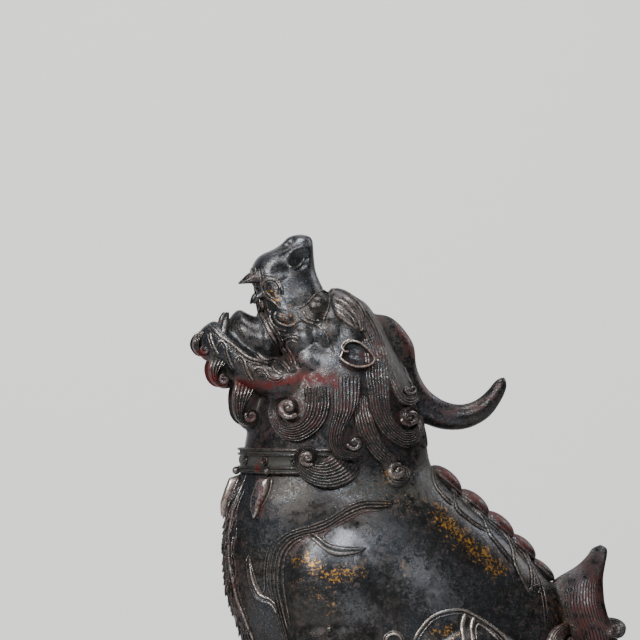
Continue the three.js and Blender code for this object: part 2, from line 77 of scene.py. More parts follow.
# Upright sections of the jaw and tongue: [x, top, bottom, half width].
JAW = [
    [-105.8, 251, 247.5, 3], [-103.5, 254.5, 243.5, 7], [-100, 257.8, 240.5, 10.5],
    [-96, 259.6, 237.5, 14], [-91, 256.5, 233, 17], [-83, 249, 226.5, 20.5], [-70, 241.5, 219.5, 24.5],
    [-54, 243, 216, 27.5], [-38, 240, 222, 20],
]
JAW_FULLNESS = 0.85
TONGUE = [
    [-91, 258, 250, 4], [-88.5, 261, 246, 9], [-84, 265.3, 242, 13], [-80, 263.5, 240, 15],
    [-75, 261.8, 238, 16.5], [-69, 263, 236, 18], [-58, 254, 234, 18],
]

# Horn centreline in the median plane: [x, z, radius].
HORN = [
    [-30, 244, 6], [-22, 252, 9], [-12, 254, 8.6], [-4.5, 246, 8.3], [-2, 233, 8.1], [5, 220.3, 8],
    [16.5, 213, 7.2], [28, 211.5, 6.4], [37.5, 215, 5.6], [44, 221.5, 4.5], [48.2, 228.5, 3.2],
    [49.8, 232, 2],
]

# Level sections of a foreleg: [x, y, height, half length, half width].
FORELEG = [
    [-38, 28, 130, 6, 6], [-33.5, 30, 112, 25, 15], [-35, 31, 93, 23, 16.5], [-37.5, 32, 70, 18, 15],
    [-41, 32, 48, 14, 13.2], [-45, 32, 30, 13.3, 12.8], [-48, 32, 9, 15, 14], [-48, 32, 5, 4, 4],
]
SHOULDER = {"at": (-35, 27, 126), "radii": (30, 21, 42), "tilt": -0.12}
HAUNCH = {"at": (25, 32, 65), "radii": (37, 25, 48), "tilt": 0.1}
# Sections of a paw: [distance in front of the heel, height, half width].
PAW = [
    [-2, 9, 7], [2, 15, 10], [11, 18.5, 13], [24, 17, 15], [34, 13.5, 16.5], [42, 10.5, 16.5],
    [45.5, 6, 15.5], [46.5, 3, 12],
]
TOES = 4
PAWS = [{"heel": (-37, 32), "length": 1.0}, {"heel": (37, 42), "length": 1.3}]
PLINTH_TOP = 12
PAW_LIFT = 0.5

# Level sections of the tail: [height, front, back, half width].
TAIL = [
    [44, 62, 92, 8], [54, 70, 99, 14], [72, 76, 106, 17.5], [92, 75, 107, 18], [104, 74.5, 105, 16.8],
    [110, 73.2, 101.8, 15.2], [118, 71.6, 99.6, 13], [124, 72.8, 99, 11], [128, 74.3, 98.8, 9.8],
    [131, 77.4, 98.9, 8.8], [134.5, 83.5, 99.5, 7], [138, 88.5, 100.2, 5.3], [142, 92.3, 101, 3.8],
    [145.5, 94.8, 100.8, 2.6], [147.3, 97, 99.5, 1],
]

# The grain to which each casting is melted, and its rounds of smoothing.
BODY_GRAIN = 1.4
BODY_ROUNDS = 5
HEAD_GRAIN = 0.72
HEAD_ROUNDS = 12


def unit(vectors):
    return vectors / np.maximum(np.linalg.norm(vectors, axis=1), 1e-6)[:, None]


def along(rows, t):
    """Rows read off a smooth curve through the given ones, at fractions t of its length."""
    rows = np.asarray(rows, float)
    at = np.clip(t, 0, 1) * (len(rows) - 1)
    i = np.minimum(at.astype(int), len(rows) - 2)
    t = (at - i)[:, None]
    before, start = rows[np.maximum(i - 1, 0)], rows[i]
    end, after = rows[i + 1], rows[np.minimum(i + 2, len(rows) - 1)]
    bend = 2 * before - 5 * start + 4 * end - after
    return start + 0.5 * t * (end - before + t * (bend + t * (3 * (start - end) + after - before)))


def heading(route, t, step):
    """Which way a route runs at fractions t of its length."""
    return along(route, np.minimum(t + step, 1)) - along(route, np.maximum(t - step, 0))


def length_of(route):
    return np.linalg.norm(np.diff(route, axis=0), axis=1).sum()


def grid(columns, rows, surface):
    """A grid laid over surface(u, v), both from 0 to 1, with its seams and poles closed."""
    bm = bmesh.new()
    bmesh.ops.create_grid(bm, x_segments=columns, y_segments=rows, size=1)
    uv = np.array([vert.co[:2] for vert in bm.verts]) / 2 + 0.5
    for vert, point in zip(bm.verts, surface(uv[:, 0], uv[:, 1])):
        vert.co = point
    bmesh.ops.remove_doubles(bm, verts=bm.verts, dist=0.0005)
    bmesh.ops.recalc_face_normals(bm, faces=bm.faces)
    return bm


def swell(values, fullness):
    """Sines or cosines of a section that is fuller than an ellipse."""
    return np.sign(values) * np.abs(values) ** fullness


def skin(rings, columns, rows, fullness=1.0, ribs=0, rib_height=0.0):
    """A closed skin over rings, each a middle and two half axes. It closes at both ends."""
    rings = np.array(rings, float)
    rings[[0, -1], 3:] = 0

    def surface(u, v):
        ring = along(rings, v)
        turn = 2 * np.pi * u
        size = 1 + rib_height * np.cos(ribs * turn)
        across = swell(np.cos(turn), fullness) * size
        out = swell(np.sin(turn), fullness) * size
        return ring[:, :3] + ring[:, 3:6] * across[:, None] + ring[:, 6:] * out[:, None]

    return grid(columns, rows, surface)


def level_rings(stations):
    return [[(front + back) / 2, 0, height, (back - front) / 2, 0, 0, 0, width, 0]
            for height, front, back, width in stations]


def upright_rings(stations):
    return [[x, 0, (top + low) / 2, 0, 0, (top - low) / 2, 0, width, 0] for x, top, low, width in stations]


def horn_rings():
    rings = []
    for i, (x, z, radius) in enumerate(HORN):
        from_x, from_z = HORN[max(0, i - 1)][:2]
        to_x, to_z = HORN[min(len(HORN) - 1, i + 1)][:2]
        reach = math.hypot(to_x - from_x, to_z - from_z)
        across = ((to_z - from_z) * radius / reach, 0, (from_x - to_x) * radius / reach)
        rings.append([x, 0, z, *across, 0, radius * 0.95, 0])
    return rings


def ball(at, radii, tilt=0.0, side=1, columns=32, rows=20):
    bm = bmesh.new()
    bmesh.ops.create_uvsphere(bm, u_segments=columns, v_segments=rows, radius=1)
    bmesh.ops.scale(bm, vec=radii, verts=bm.verts)
    bmesh.ops.rotate(bm, cent=(0, 0, 0), matrix=Matrix.Rotation(tilt, 3, "Y"), verts=bm.verts)
    bmesh.ops.translate(bm, vec=(at[0], side * at[1], at[2]), verts=bm.verts)
    return bm


def pair(shape):
    return [ball(**shape, side=side) for side in SIDES]


def paw(heel, length, side):
    def surface(u, v):
        ahead, height, half_width = along(PAW, v).T
        closing = np.where((v <= 0) | (v >= 1), 0, 1)
        turn = 2 * np.pi * u
        on_toes = np.clip((ahead - 18) / 16, 0, 1)
        toes = 1 - 0.22 * on_toes * np.abs(np.cos(np.pi * TOES * (1 - np.cos(turn)) / 2))
        flattened = np.where(np.sin(turn) > 0, 1, 0.6)
        return np.stack([
            heel[0] - ahead * length,
            side * heel[1] + closing * half_width * np.cos(turn),
            PLINTH_TOP + PAW_LIFT + closing * height * toes * flattened * np.sin(turn),
        ], 1)

    return grid(96, 60, surface)


def joined(pieces):
    """One bmesh out of several."""
    whole = bmesh.new()
    for piece in pieces:
        mesh = bpy.data.meshes.new("piece")
        piece.to_mesh(mesh)
        piece.free()
        whole.from_mesh(mesh)
        bpy.data.meshes.remove(mesh)
    return whole


def make(name, pieces):
    """An object at the origin out of bmeshes in millimetres."""
    whole = joined(pieces)
    bmesh.ops.scale(whole, vec=(MM, MM, MM), verts=whole.verts)
    mesh = bpy.data.meshes.new(name)
    whole.to_mesh(mesh)
    whole.free()
    mesh.shade_smooth()
    obj = bpy.data.objects.new(name, mesh)
    bpy.context.scene.collection.objects.link(obj)
    return obj


def cast(name, pieces, grain):
    """Pieces melted into one skin with an even grain."""
    obj = make(name, pieces)
    remesh = obj.modifiers.new("Melt", "REMESH")
    remesh.mode = "VOXEL"
    remesh.voxel_size = grain * MM
    melted = bpy.data.meshes.new_from_object(obj.evaluated_get(bpy.context.evaluated_depsgraph_get()))
    obj.modifiers.clear()
    obj.data = melted
    melted.name = name
    melted.shade_smooth()
    return obj


def values_of(items, name, width, kind=float):
    """What all items of a mesh hold under one name, in rows of that width."""
    values = np.empty(width * len(items), kind)
    items.foreach_get(name, values)
    return values.reshape(-1, width)


def points_of(mesh):
    return values_of(mesh.vertices, "co", 3) / MM


def edges_of(mesh):
    return values_of(mesh.edges, "vertices", 2, np.int32)


def set_points(mesh, points):
    mesh.vertices.foreach_set("co", (points * MM).ravel())
    mesh.update()


def relaxed(values, edges, rounds):
    """Values at the corners of a mesh, drawn halfway to their neighbours' mean in each round."""
    values = values.copy()
    a, b = edges.T
    ends, others = np.r_[a, b], np.r_[b, a]
    count = np.bincount(ends, minlength=len(values))[:, None]
    for _ in range(rounds):
        totals = [np.bincount(ends, column[others], len(values)) for column in values.T]
        values += 0.5 * (np.stack(totals, 1) / count - values)
    return values


def in_view(points):
    """Where a point of either flank lies in the drawing plane."""
    return np.stack([points[:, 0] * RIGHT[0] + np.abs(points[:, 1] * RIGHT[1]), points[:, 2]], 1)


def distance_to(route, spots):
    """How far spots in the drawing plane lie from a route."""
    route = np.asarray(route, float)
    nearest = np.full(len(spots), np.inf)
    for start, end in zip(route[:-1], route[1:]):
        reach = end - start
        t = np.clip(((spots - start) @ reach) / max(reach @ reach, 1e-9), 0, 1)
        nearest = np.minimum(nearest, np.linalg.norm(spots - start - t[:, None] * reach, axis=1))
    return nearest


def hollowed(points, sides, at, radii, tilt):
    """Points pushed out of an ellipsoid whose middle lies outside the skin."""
    points = points.copy()
    turn = np.array(Matrix.Rotation(tilt, 3, "Y"))
    for side in sides:
        middle = np.array([at[0], side * at[1], at[2]])
        local = (points - middle) @ turn / radii
        reach = np.linalg.norm(local, axis=1)
        inside = reach < 1
        local[inside] /= np.maximum(reach[inside, None], 0.05)
        points[inside] = (local[inside] * radii) @ turn.T + middle
    return points


def body_pieces():
    pieces = [skin(level_rings(TRUNK[:COLLAR_ROW + 4]), 96, 160), skin(level_rings(TAIL), 72, 90)]
    pieces += pair(SHOULDER) + pair(HAUNCH)
    for side in SIDES:
        rings = [[x, side * y, z, length, 0, 0, 0, width, 0] for x, y, z, length, width in FORELEG]
        pieces.append(skin(rings, 48, 80))
        pieces += [paw(**shape, side=side) for shape in PAWS]
    return pieces


# Hollows and bulges of the head, as ellipsoids.
NOSTRIL = {"at": (-60.5, 8.5, 300), "radii": (5.2, 3.2, 4.2), "tilt": 0.7}
PALATE = {"at": (-82, 0, 263), "radii": (12.5, 12, 17), "tilt": 0.15}
EYE = {"at": (-46.2, 17, 266.3), "radii": (6.4, 6, 6.4)}
CHEEKS = [
    {"at": (-47, 17, 238.5), "radii": (15, 13.5, 14)},
    {"at": (-54.5, 19.5, 250.5), "radii": (9, 8.6, 9), "tilt": 0.5},
    {"at": (-46, 21.5, 239.5), "radii": (10, 9, 8.5)}, {"at": (-40, 17, 252), "radii": (13, 13, 15)},
]
LIP_BULGE = {"at": (-62, 17.5, 260.5), "radii": (7.5, 6.4, 3.4), "tilt": 0.35}
BEARD_MASS = [
    {"at": (-98, 0, 246), "radii": (6.5, 6.5, 7)}, {"at": (-91, 0, 234), "radii": (7, 9.5, 8.5)},
    {"at": (-79, 0, 220), "radii": (8, 11, 15)},
]
# Soft dents in the cheeks of the muzzle: [middle, reach, depth].
DENTS = [[(-55.8, 14.5, 290.8), 6.7, 3.6], [(-66, 15, 284), 6, 1.2], [(-58, 17, 275), 9, 1.6]]


def carved(bm, hollows):
    """A piece with ellipsoids pushed into it."""
    points = np.array([vert.co[:] for vert in bm.verts])
    for shape, sides in hollows:
        points = hollowed(points, sides, **shape)
    for vert, point in zip(bm.verts, points):
        vert.co = point
    return bm


def head_pieces():
    pieces = [
        skin(level_rings(TRUNK[COLLAR_ROW - 3:]), 96, 120),
        carved(skin(level_rings(MUZZLE), 110, 130, MUZZLE_FULLNESS), [(PALATE, (1,)), (NOSTRIL, SIDES)]),
        skin(upright_rings(JAW), 96, 100, JAW_FULLNESS),
        skin(upright_rings(TONGUE), 64, 60),
        skin(horn_rings(), 64, 200),
    ]
    for shape in [*CHEEKS, LIP_BULGE]:
        pieces += pair(shape)
    return pieces + [ball(**shape) for shape in BEARD_MASS]


def dented(points, at, reach, depth):
    """Points pressed inwards, most steeply at the lower back edge of the dent."""
    points = points.copy()
    for side in SIDES:
        away = (points - np.array(at) * [1, side, 1]) / reach
        lean = np.clip(0.6 + 0.5 * (away[:, 0] - away[:, 2]), 0, 1)
        full = np.maximum(0, 1 - (away ** 2).sum(1))
        points[:, 1] -= side * depth * lean * full ** (2 - 0.9 * lean)
    return points


def sculpt_head(mesh):
    points = relaxed(points_of(mesh), edges_of(mesh), HEAD_ROUNDS)
    for dent in DENTS:
        points = dented(points, *dent)
    set_points(mesh, points)


def sculpt_body(mesh):
    points = relaxed(points_of(mesh), edges_of(mesh), BODY_ROUNDS)
    points[:, 2] = np.where(points[:, 2] < PLINTH_TOP, PLINTH_TOP - 0.2, points[:, 2])
    set_points(mesh, points)


def cut(mesh, height, above):
    """Keeps what lies above or below a level."""
    bm = bmesh.new()
    bm.from_mesh(mesh)
    everything = bm.verts[:] + bm.edges[:] + bm.faces[:]
    bmesh.ops.bisect_plane(bm, geom=everything, plane_co=(0, 0, height * MM), plane_no=(0, 0, 1),
                           clear_inner=above, clear_outer=not above)
    bm.to_mesh(mesh)
    bm.free()


SEAM_LAP = 0.5
body = cast("lion_body", body_pieces(), BODY_GRAIN)
sculpt_body(body.data)
cut(body.data, SEAM + SEAM_LAP, above=False)
head = cast("lion_head", head_pieces(), HEAD_GRAIN)
sculpt_head(head.data)
cut(head.data, SEAM - SEAM_LAP, above=True)

# The main view: the middle of its picture in the drawing plane, and how far off the camera stands.
VIEW_MIDDLE = np.array([-43.0, 260.0])
VIEW_DISTANCE = 3200

# The map of the near flank: its lowest corner in the drawing plane, and its size in steps of a millimetre.
MAP_LOW = np.array([-120.0, 0.0])
MAP_COUNT = (241, 311)
RAY_START = 300
FRINGE = 40
FRINGE_FALL = 1.2


def tree_of(mesh):
    return BVHTree.FromPolygons(points_of(mesh).tolist(), [face.vertices[:] for face in mesh.polygons])


def flank_map(objects):
    """How far each spot of the drawing plane stands out, with a fringe that falls away round the outline."""
    trees = [tree_of(obj.data) for obj in objects]
    depth = np.full(MAP_COUNT, np.nan)
    away = Vector(-TO_VIEWER)
    for i in range(MAP_COUNT[0]):
        for k in range(MAP_COUNT[1]):
            start = Vector(RIGHT * (MAP_LOW[0] + i) + UP * (MAP_LOW[1] + k) + TO_VIEWER * RAY_START)
            hits = [tree.ray_cast(start, away)[3] for tree in trees]
            hits = [RAY_START - hit for hit in hits if hit is not None]
            if hits:
                depth[i, k] = max(hits)
    for _ in range(FRINGE):
        gaps = np.isnan(depth)
        around = np.stack([np.roll(depth, step, axis) for axis in (0, 1) for step in (-1, 1)])
        known = ~np.isnan(around)
        count = known.sum(0)
        reached = gaps & (count > 0)
        near = np.where(known, around, 0).sum(0)
        depth[reached] = near[reached] / count[reached] - FRINGE_FALL
    depth[np.isnan(depth)] = 0
    return depth


def blurred(values, rounds):
    for _ in range(rounds):
        for axis in (0, 1):
            values = (np.roll(values, 1, axis) + 2 * values + np.roll(values, -1, axis)) / 4
    return values


near_flank = flank_map([body, head])
even_flank = blurred(near_flank, 2)
slope_flank = blurred(near_flank, 10)


def read_map(values, spots):
    at = np.clip(spots - MAP_LOW, 0, np.array(MAP_COUNT) - 1.001)
    i, k = at.astype(int).T
    s, t = (at - at.astype(int)).T
    low = values[i, k] * (1 - s) + values[i + 1, k] * s
    high = values[i, k + 1] * (1 - s) + values[i + 1, k + 1] * s
    return low * (1 - t) + high * t


def on_flank(spots):
    """Points and normals of the near flank where the camera sees spots of the drawing plane."""
    out = read_map(even_flank, spots)
    spots = VIEW_MIDDLE + (spots - VIEW_MIDDLE) * (1 - out / VIEW_DISTANCE)[:, None]
    out = read_map(even_flank, spots)
    points = spots[:, :1] * RIGHT + spots[:, 1:] * UP + out[:, None] * TO_VIEWER
    steps = np.array([[1.5, 0], [0, 1.5]])
    slopes = [(read_map(slope_flank, spots + s) - read_map(slope_flank, spots - s)) / 3 for s in steps]
    return points, unit(TO_VIEWER - slopes[0][:, None] * RIGHT - slopes[1][:, None] * UP)


def hanging_at(distance):
    """The same for carving that hangs free, in a plane at that distance from the median plane."""
    def lay(spots):
        x = (spots[:, 0] - distance * abs(RIGHT[1])) / RIGHT[0]
        points = np.stack([x, np.full(len(spots), -distance), spots[:, 1]], 1)
        return points, np.tile([0, -1.0, 0], (len(spots), 1))

    return lay


def round_trunk(facing):
    """The same for the trunk's back (1) or front (-1), for spots as [distance from the middle, height]."""
    heights, front, back, half_width = np.array(TRUNK).T
    edge = back if facing > 0 else front

    def lay(spots):
        height = spots[:, 1]
        width = np.interp(height, heights, half_width)
        reach = (np.interp(height, heights, back) - np.interp(height, heights, front)) / 2
        turn = -facing * spots[:, 0] / width
        x = np.interp(height, heights, edge) - facing * reach * (1 - np.cos(turn))
        points = np.stack([x, facing * width * np.sin(turn), height], 1)
        normals = unit(facing * np.stack([np.cos(turn) / reach, np.sin(turn) / width, 0 * turn], 1))
        above, below = (np.interp(height + step, heights, edge) for step in (4, -4))
        normals[:, 2] = normals[:, 0] * (below - above) / 8
        return points, unit(normals)

    return lay


on_nape = round_trunk(facing=1)
on_chest = round_trunk(facing=-1)

# The share of a band's columns that lie on top. The rest close its underside.
TOP_SHARE = 0.84
# How far apart the rows of a band and of a fine line lie.
BAND_STEP = 0.84
THREAD_STEP = 0.7
# How far a band lies below the skin at its edges, where it begins, and at its closed ends.
EDGE_SINK = 0.5
FADE_SINK = 1.3
END_SINK = 1.5


def band(outer, inner, strands, height, lay=on_flank, lift=0.0, groove=0.5, side=-1, swell_end=0.5, fade=8,
         fade_out=0, depth=1.5):
    """A band of combed strands between two edges that are drawn in the same number of points.

    Where the band narrows, strands run out at its inner edge. It rises over a stretch of length fade, and
    sinks again over fade_out. Its underside lies at a depth below the skin."""
    outer, inner = np.array(outer, float), np.array(inner, float)
    reach = length_of(outer)
    widest = np.linalg.norm(outer - inner, axis=1).max()
    rows = max(12, int(reach / BAND_STEP))
    columns = max(14, int((7 * strands) / TOP_SHARE))

    def surface(u, v):
        on_top = u <= TOP_SHARE
        a = np.where(on_top, u / TOP_SHARE, (1 - u) / (1 - TOP_SHARE))
        ends = (v <= 0) | (v >= 1)
        a = np.where(ends, 0.5, a)
        first, last = along(outer, v), along(inner, v)
        points, normals = lay(first + (last - first) * a[:, None])
        crown = np.sqrt(np.clip(1 - np.abs(2 * a - 1) ** 5, 0, 1))
        here = strands * (np.linalg.norm(first - last, axis=1) / widest) ** 0.4
        ridge = np.abs(np.sin(np.pi * here * a)) ** 0.65
        full = np.minimum(1, v * reach / fade) ** 0.8
        if fade_out:
            full = full * np.minimum(1, (1 - v) * reach / fade_out) ** 0.7
        tall = height * (1 + swell_end * v ** 3) * (1 - groove * (1 - ridge)) + lift
        top = tall * crown * full - EDGE_SINK * (1 - crown) - FADE_SINK * (1 - full)
        rise = np.where(ends, -END_SINK, np.where(on_top, top, -depth))
        points = points + normals * rise[:, None]
        points[:, 1] *= -side
        return points

    return grid(columns, rows, surface)


def thread(route, radius, lay=on_flank, lift=0.25, side=-1, step=THREAD_STEP, columns=8, flick=0):
    """A fine raised line, tapered at both ends. Its far end may flick outwards."""
    route = np.array(route, float)
    rows = max(8, int(length_of(route) / step))

    def surface(u, v):
        spots = along(route, v)
        points, normals = lay(spots)
        further, _ = lay(spots + 0.2 * unit(heading(route, v, 0.01)))
        across = unit(np.cross(further - points, normals))
        size = radius * np.minimum(1, 0.35 + 5 * np.minimum(v, 1 - v))
        size = np.where((v <= 0) | (v >= 1), 0, size)
        turn = 2 * np.pi * u
        points = points + across * (size * np.cos(turn))[:, None]
        points = points + normals * (size * np.sin(turn) + lift * size / radius + flick * v ** 2)[:, None]
        points[:, 1] *= -side
        return points

    return grid(columns, rows, surface)


def beside(route, gap):
    """A route drawn at a small distance to the left of another."""
    route = np.array(route, float)
    ahead = unit(np.gradient(route, axis=0))
    return route + gap * np.stack([-ahead[:, 1], ahead[:, 0]], 1)


def line(row, side, fine, lift=0.25):
    """A raised line from its [radius, route], and a fine one beside it at each gap that the row adds."""
    radius, route, *gaps = row
    beside_it = [thread(beside(route, gap), fine, side=side) for gap in gaps]
    return [thread(route, radius, side=side, lift=lift), *beside_it]


def knob(spot, radius, out, lay=on_flank, side=-1, flat=0.8):
    """A round boss that ends a curl."""
    points, normals = lay(np.array([spot], float))
    x, y, z = points[0] + normals[0] * out
    return ball((x, abs(y), z), (radius, radius * flat, radius), side=side, columns=20, rows=14)


# Locks, each with its outer and inner edge in the drawing plane. A knob is [across, up, radius, how proud].
MANE = {
    "fan": dict(
        outer=[[-21.4, 187], [-24.2, 181.8], [-29.9, 177.2], [-36.9, 175.1], [-43.9, 175.8],
               [-50.2, 179], [-54.1, 183.9], [-55.8, 189.5], [-54.4, 194.4], [-50.9, 197.1],
               [-46.7, 197.1], [-44.1, 194.4], [-44.1, 190.9], [-46.7, 188.2], [-49.5, 188.9]],
        inner=[[-35.7, 196.3], [-37.2, 194.2], [-39.4, 192.3], [-41.8, 190.5], [-43.4, 189.4],
               [-45, 188.6], [-47, 188], [-49, 188.8], [-50.3, 190.9], [-50, 193.1], [-48.5, 194.2],
               [-47, 193.5], [-46.5, 192.1], [-47.2, 190.9], [-48.2, 190.6]],
        strands=10, height=2.6, lift=2.4, depth=1, knob=[-48.2, 191, 2.5, 6.2]),
    "cheek_curl": dict(
        outer=[[-38, 230], [-37.6, 223], [-37.6, 216.8], [-39.7, 209.8], [-44.6, 203.5], [-51.6, 199.3],
               [-57.9, 199.3], [-63.5, 202.8], [-66.7, 209.1], [-67, 214.7], [-64.9, 219.7],
               [-61.4, 222.1], [-57.9, 221.8], [-54.8, 219.7], [-53.7, 216.1], [-54.8, 213],
               [-57.6, 211.6]],
        inner=[[-54, 228.5], [-51.3, 222.5], [-50.7, 216.8], [-51.6, 211.9], [-54.8, 208.4],
               [-58.6, 208.1], [-61.4, 210.2], [-62.4, 213], [-62.4, 215.4], [-61.8, 217.2],
               [-60.4, 218.6], [-58.6, 219.1], [-57.2, 218.6], [-56.5, 217.2], [-56.7, 215.4],
               [-57.6, 214], [-58.3, 213.7]],
        strands=9, height=3.2, lift=0.5, fade=11, knob=[-57, 215.4, 3.1, 4.4]),
    "long_lock": dict(
        outer=[[-37.2, 234.5], [-37, 227], [-36.7, 220.4], [-36.6, 214], [-37.9, 208.4], [-39, 202.1],
               [-38.6, 197.2], [-36.5, 193], [-33.4, 190.5], [-29.2, 189.7], [-24.9, 191.1],
               [-21.8, 194.4], [-21, 198.3], [-22.6, 201.3], [-25.7, 202.3], [-28.3, 200.9],
               [-28.8, 197.9], [-27.4, 195.9]],
        inner=[[-20, 235], [-21.3, 227], [-23.2, 220], [-25.8, 214], [-28.1, 209.8], [-30, 205.6],
               [-31.3, 201.8], [-31.8, 199], [-30.9, 196.6], [-29.2, 195.1], [-26.7, 194.5],
               [-24.6, 195.7], [-23.7, 197.6], [-24.2, 199.4], [-25.8, 200.4], [-27.2, 199.4],
               [-27.4, 198], [-26.7, 197.1]],
        strands=9, height=2.8, lift=2.2, fade=13, knob=[-26.6, 198.6, 2.2, 5.6]),
    "back_lock": dict(
        outer=[[-22.6, 252], [-22.2, 245], [-21.6, 238.2], [-21.1, 230.2], [-20, 223.2], [-19.2, 216.8],
               [-17.4, 211.2], [-15, 206.3], [-11.6, 201.8], [-7.4, 198.3], [-2.5, 195.9], [2.4, 196.9],
               [5.8, 200.4], [6.8, 205.6], [5.2, 210.9], [2.1, 215.1], [-1.1, 216.1], [-3.6, 214],
               [-3.6, 209.8], [-1.1, 206.7]],
        inner=[[-13.4, 254], [-11.4, 247], [-9.9, 239.6], [-9.2, 233], [-8.9, 227.4], [-9, 222.5],
               [-9, 218.3], [-8.3, 214.4], [-7.1, 210.9], [-5.3, 208.1], [-2.8, 205.6], [0, 204.7],
               [2.4, 205.6], [3.7, 208.1], [3.3, 211.2], [1.4, 213.5], [-0.7, 214.2], [-1.9, 212.3],
               [-1.7, 209.8], [-0.5, 208.4]],
        strands=9, height=2.6, lift=0.8, knob=[-0.4, 211, 2.6, 3.4]),
    "horn_curl": dict(
        outer=[[-9.9, 237.8], [-9.4, 231.9], [-8.5, 226.7], [-6.8, 222.5], [-4.5, 219], [-1.4, 216.8],
               [1.9, 216.7], [4.4, 219], [4.5, 222.1], [2.8, 224.9], [0.7, 226.7], [-1.4, 226.7],
               [-2, 224.9], [-1.1, 223.5]],
        inner=[[-5, 237.8], [-4.9, 232.6], [-4.6, 228.4], [-3.9, 225.6], [-2.5, 223.5], [-1, 222.3],
               [0.7, 222.1], [1.9, 222.8], [2.1, 224], [1.4, 225.1], [0.3, 225.6], [-0.6, 225.4],
               [-0.8, 224.7], [-0.4, 224.1]],
        strands=4, height=2.2, lift=0.6, knob=[0.4, 224.6, 1.8, 3]),
    "bead_lock": dict(
        outer=[[-25, 224], [-26.5, 213], [-24.9, 203.7], [-21, 196.6], [-16.5, 190.9], [-12.6, 186.8],
               [-10.9, 181.8], [-9.5, 177.9], [-6, 176], [-1.8, 176.9], [0.9, 180.4], [0.7, 184.6],
               [-2.5, 187.2], [-6, 187.2], [-8.5, 184.9]],
        inner=[[-19.5, 225], [-17.8, 214.2], [-15.4, 206.2], [-12.9, 200.3], [-9.9, 195.6],
               [-6.7, 192.1], [-5.5, 188.4], [-4.5, 185.6], [-2.8, 183.9], [-2.5, 181.8], [-3.9, 180],
               [-6, 179.8], [-7.8, 181.1], [-8.1, 183], [-7.1, 184.2]],
        strands=7, height=2.7, lift=0.8, knob=[-6.2, 183.2, 2.9, 4.6]),
    "brow_strands": dict(
        outer=[[-34.4, 273.9], [-27.5, 272.4], [-21, 267.2], [-15.6, 259.5], [-12, 250], [-9.8, 240.5],
               [-8.8, 231]],
        inner=[[-31.7, 268.4], [-27.2, 264.4], [-24, 258.4], [-20.6, 252], [-17.6, 246.5], [-16.2, 240],
               [-16.4, 231]],
        strands=6, height=1.7, lift=0.2, swell_end=0, fade_out=12),
}

# Curls under the jaw that hang free of the head, at a distance from the median plane.
BEARD = {
    "chin_curl": dict(
        outer=[[-103, 254.6], [-106, 250.4], [-106.4, 246.4], [-103.8, 242.6], [-100, 241.7],
               [-97.9, 243.7], [-97.9, 246.2], [-99.7, 247.4], [-101.4, 246.5], [-101.4, 244.8]],
        inner=[[-99.7, 254.6], [-102.5, 251.1], [-103.2, 247.6], [-102.8, 245.1], [-101.4, 243.5],
               [-99.7, 243.7], [-99, 245.1], [-99.7, 246.2], [-100.6, 246], [-100.8, 245.1]],
        strands=4, height=2.6, lift=0, distance=7, depth=3.6, fade=3, knob=[-100.2, 245.2, 1.5, 3]),
    "jaw_curl": dict(
        outer=[[-96.2, 242.8], [-98.6, 236.6], [-97.9, 231.4], [-95.5, 227.9], [-92, 226.4],
               [-88.8, 227.9], [-88.1, 231.1], [-89.8, 233], [-92, 232.5], [-92.3, 230.4]],
        inner=[[-84, 243.9], [-88.1, 239.2], [-92, 236.4], [-94.1, 233.5], [-94.4, 230.7], [-93, 229],
               [-90.9, 228.5], [-89.5, 229.7], [-89.8, 231.1], [-90.9, 231.4]],
        strands=6, height=3, lift=0, distance=11, depth=4.1, fade=3, knob=[-90.6, 230.6, 1.7, 3.6]),
    "throat_curl": dict(
        outer=[[-84.6, 232], [-86.7, 222.7], [-86.3, 214.7], [-84.6, 210.5], [-81.4, 207.7],
               [-77.9, 207], [-74.8, 208.4], [-73.4, 211.6], [-74.4, 214.7], [-76.9, 215.8],
               [-79, 214.7], [-79.7, 212.6], [-78.6, 211.1]],
        inner=[[-71.5, 229.9], [-75.9, 223.4], [-79.2, 219.1], [-81.1, 215.8], [-81.6, 213],
               [-80.5, 210.5], [-78.3, 209.4], [-76.2, 210.2], [-75.5, 212.3], [-76.2, 213.9],
               [-77.6, 214], [-78.4, 213], [-78.1, 212.1]],
        strands=7, height=3.2, lift=0, distance=11, depth=4.6, fade=3, knob=[-77.4, 212.4, 2, 4]),
}

# The lock on the back of the neck, drawn in [distance round from the middle, height].
NAPE = {
    "nape_lock": dict(
        outer=[[4, 236], [3, 226], [2.5, 216], [3, 208], [6, 200], [12, 196], [18, 198], [20.5, 203],
               [18.5, 208], [14, 209], [11.5, 206]],
        inner=[[16, 238], [13, 228], [11, 219], [9.5, 211], [10, 205], [12.5, 201.5], [16, 202],
               [17, 204.2], [16, 205.6], [14.3, 205.7], [13.2, 204.8]],
        strands=6, height=1.3, lift=0, knob=[14.4, 204.4, 1.4, 1.6]),
}


def tapered(route, radii, side=1, columns=16, rows=24):
    """A curved spike through points in space."""
    route, radii = np.array(route, float), np.array(radii, float)[:, None]

    def surface(u, v):
        middle = along(route, v)
        ahead = heading(route, v, 0.02)
        across = unit(np.cross(ahead, [0.0, 1.0, 0.0]))
        out = unit(np.cross(ahead, across))
        size = np.where((v <= 0) | (v >= 1), 0, along(radii, v)[:, 0])[:, None]
        turn = 2 * np.pi * u[:, None]
        points = middle + size * (across * np.cos(turn) + out * np.sin(turn))
        points[:, 1] *= side
        return points

    return grid(columns, rows, surface)


